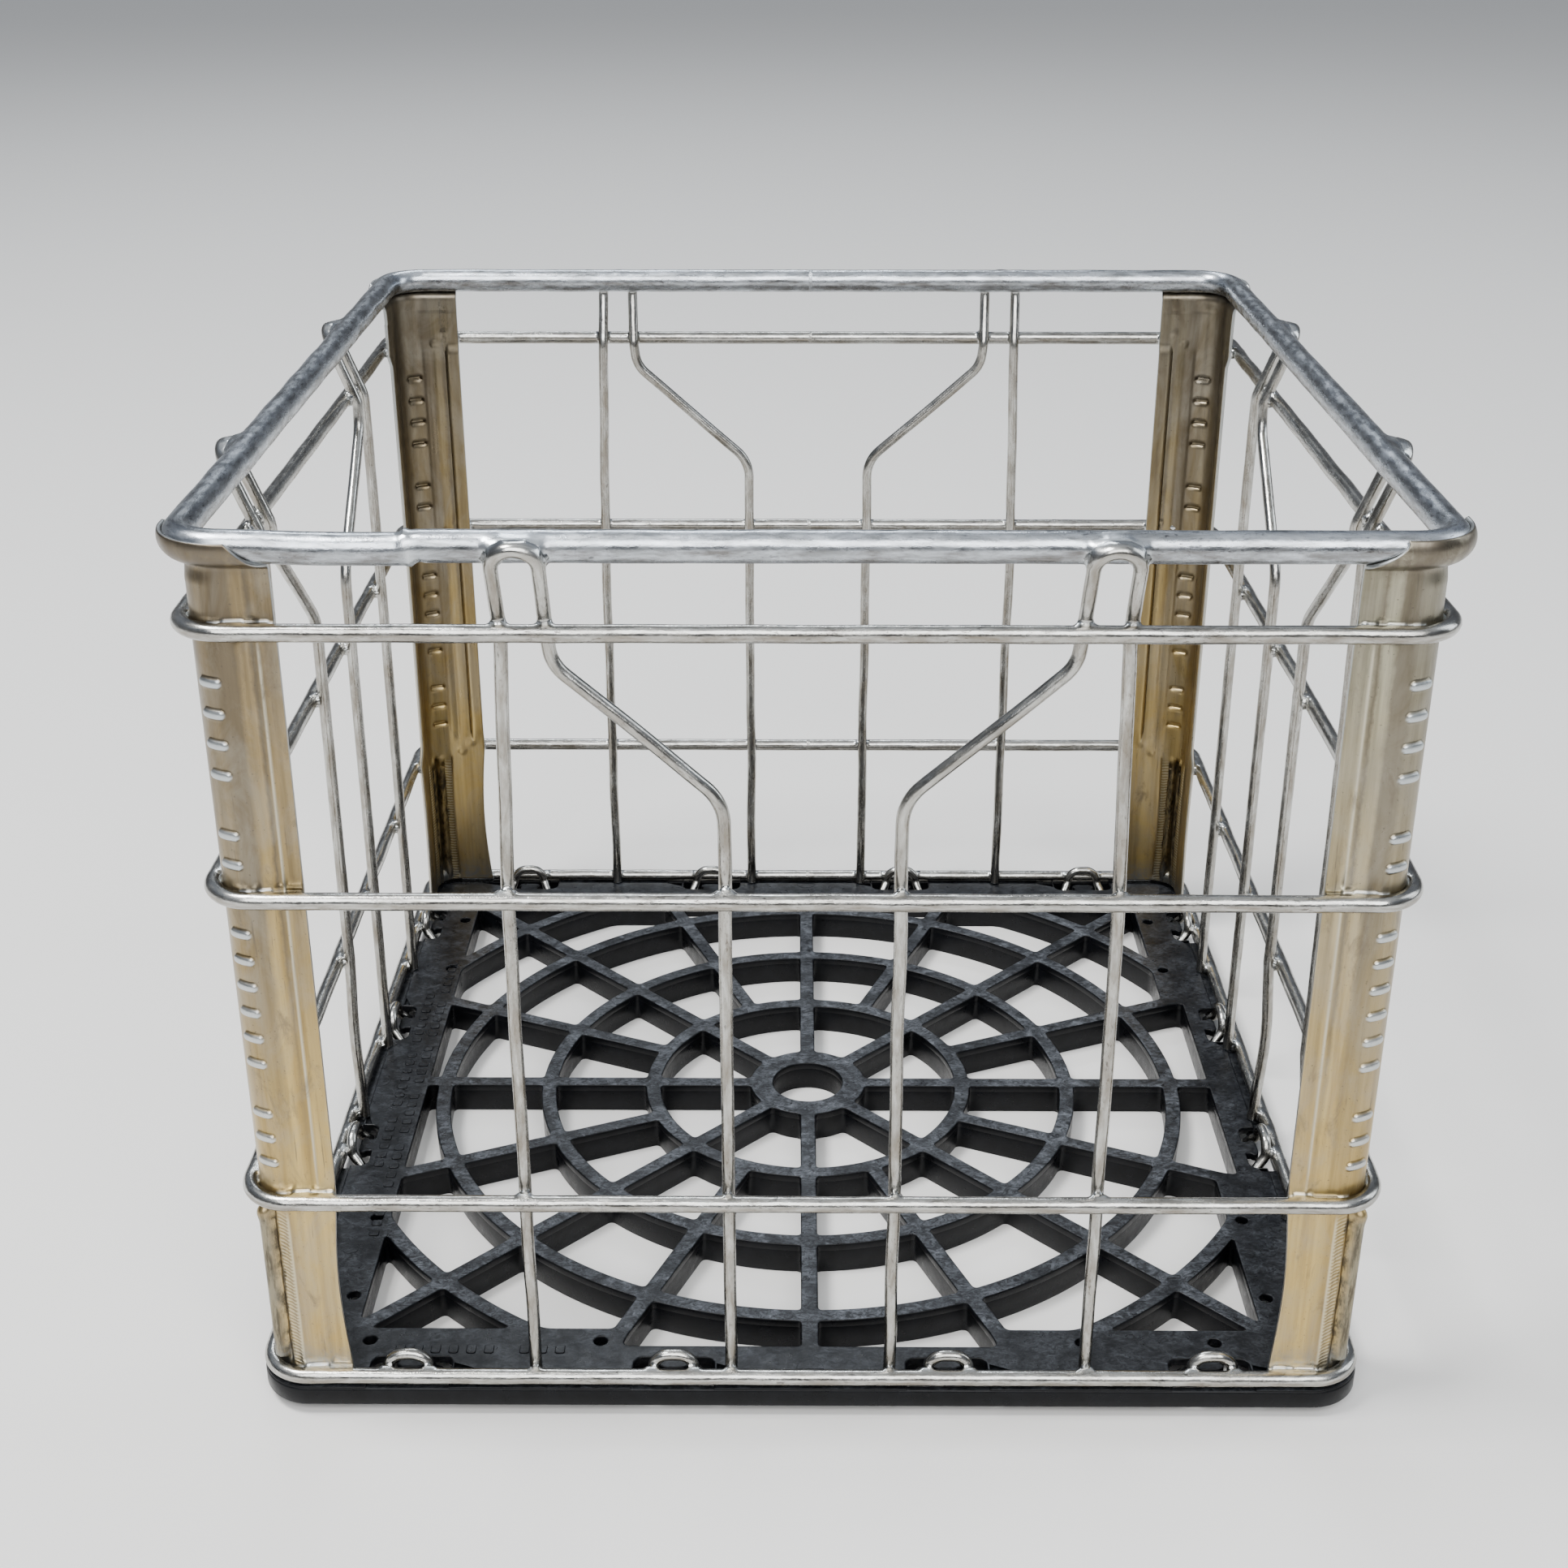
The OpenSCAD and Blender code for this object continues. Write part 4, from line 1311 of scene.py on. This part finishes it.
def black_plastic():
    """Black moulded plastic, scuffed pale on the faces that crates and bottles rub."""
    look = Looks("black_plastic")
    grain = look.blots([(0.35, 0), (0.7, 1)], 6, 4, 0.6, twist=0.4)
    color = look.blend(grain, (0.0015, 0.0017, 0.0022), (0.004, 0.0044, 0.0058))
    top = look.steps(look.normal_z(), [(0.70, 0), (0.95, 1)])
    far_x, far_y = (look.math("ABSOLUTE", look.part(look.where, axis)) for axis in "XY")
    inside_frame = look.steps(look.math("MAXIMUM", far_x, far_y), [(0.137, 1), (0.141, 0.35)])
    clouds = look.blots([(0.40, 0.25), (0.66, 1)], 11, 5, 0.65, shift=5.1, twist=1.0)
    scratch = look.blots([(0.42, 0.06), (0.52, 0.45), (0.64, 1)], 2.2, 7, 0.82, (1.5, 1, 1), 2.4, 1.4)
    scuff = look.times(top, inside_frame, look.times(clouds, scratch))
    color = look.painted(color, (0.165, 0.180, 0.205), scuff, 0.9)
    roughness = look.blots([(0.3, 0.24), (0.7, 0.40)], 4, 4, 0.6, shift=7.2)
    roughness = look.math("ADD", roughness, look.times(scuff, 0.25))
    lumps = look.math("ADD", look.noise(1.1, 3, 0.6), look.times(scratch, -0.5))
    return look.finished(lumps, 0.22, 0.10, Base_Color=color, Roughness=roughness, Specular_IOR_Level=0.16)


def pale_floor():
    return Looks("floor").finished(Base_Color=(0.78, 0.77, 0.75), Roughness=0.85)


# ---------------------------------------------------------------- the crate

def dressed(obj, material):
    obj.data.materials.clear()
    obj.data.materials.append(material)
    return obj


def build_wires():
    """The rim, the rings, the uprights and the staples."""
    # The fifth colour of each look is the painted shade on its sides and undersides.
    wire_look = galvanised("zinc_wire", (0.55, 0.55, 0.525), (0.30, 0.29, 0.265), (0.10, 0.095, 0.09),
                           (0.20, 0.17, 0.13), 0.22)
    rod_look = galvanised("zinc_rod", (0.58, 0.62, 0.67), (0.30, 0.315, 0.33), (0.07, 0.07, 0.08),
                          (0.09, 0.075, 0.06), 0.27)
    for name, wire in wires.items():
        if name == "top_rim":
            piece(dressed(wire_mesh(wire, around=40), rod_look), name)
        elif name.startswith("staple"):
            piece(dressed(wire_mesh(wire, coarse=0.9, around=20), wire_look), name)
        else:
            piece(dressed(wire_mesh(wire), wire_look), name)


def build_posts():
    for i, (name, shape) in enumerate(POSTS.items()):
        look = sheet_metal("zinc_" + name, *POST_TONES[name])
        piece(dressed(post_mesh(name, *shape, 90 + i), look), name)


def build_base():
    piece(dressed(base_mesh(), black_plastic()), "base_grid")


def build_floor():
    bpy.ops.mesh.primitive_plane_add(size=40, location=(0, 0, 0))
    floor = bpy.context.object
    floor.name = "floor"
    dressed(floor, pale_floor())


# Name, place, what it points at, size in metres, power and colour
LIGHTS = [
    ("key", (-0.9, -0.2, 2.1), (0, 0, 0.12), (0.8, 0.6), 56, (1, 1, 1)),
    ("front", (0.1, -1.9, 1.75), (0, 0, 0.15), (2.6, 1.5), 78, (1, 1, 1)),
    ("fill", (1.9, 0.3, 1.1), (0, 0, 0.12), (0.8, 1.4), 12, (0.88, 0.94, 1)),
    ("back", (-0.3, 2.3, 2.3), (0, 0, 0.1), (1.3, 0.35), 24, (0.88, 0.94, 1)),
]
# The studio's walls and ceiling: height of the direction, and colour
WORLD_STOPS = [(0.0, (0.34, 0.34, 0.35)), (0.25, (0.20, 0.21, 0.23)), (0.60, (0.38, 0.42, 0.50)),
               (1.0, (1.3, 1.35, 1.4))]


def build_lights():
    """Area lights from the list above."""
    for name, place, target, size, power, color in LIGHTS:
        data = bpy.data.lights.new(name, "AREA")
        data.shape = "RECTANGLE"
        data.size, data.size_y = size
        data.energy = power
        data.color = color
        lamp = bpy.data.objects.new(name, data)
        lamp.location = place
        lamp.rotation_euler = (Vector(target) - Vector(place)).to_track_quat("-Z", "Y").to_euler()
        bpy.context.scene.collection.objects.link(lamp)


def build_world():
    """Soft light from all round, whose colour follows the height of its direction."""
    world = bpy.data.worlds.new("studio")
    world.use_nodes = True
    nodes, links = world.node_tree.nodes, world.node_tree.links
    place = nodes.new("ShaderNodeTexCoord")
    split = nodes.new("ShaderNodeSeparateXYZ")
    ramp = nodes.new("ShaderNodeValToRGB")
    links.new(place.outputs["Generated"], split.inputs["Vector"])
    links.new(split.outputs["Z"], ramp.inputs["Fac"])
    links.new(ramp.outputs["Color"], nodes["Background"].inputs["Color"])
    ramp.color_ramp.elements.new(0.5)
    ramp.color_ramp.elements.new(0.5)
    for element, (at, color) in zip(ramp.color_ramp.elements, WORLD_STOPS):
        element.position = at
        element.color = (*color, 1)
    nodes["Background"].inputs["Strength"].default_value = 0.6
    bpy.context.scene.world = world


def build_camera():
    """Where the photo was taken from."""
    data = bpy.data.cameras.new("camera")
    data.lens = 48.61
    data.sensor_width = 36
    camera = bpy.data.objects.new("camera", data)
    camera.location = (-0.00513, -0.6605, 0.4372)
    camera.rotation_euler = (math.radians(65.18), 0, math.radians(0.31))
    bpy.context.scene.collection.objects.link(camera)
    bpy.context.scene.camera = camera


build_wires()
build_posts()
build_base()
build_floor()
build_lights()
build_world()
build_camera()
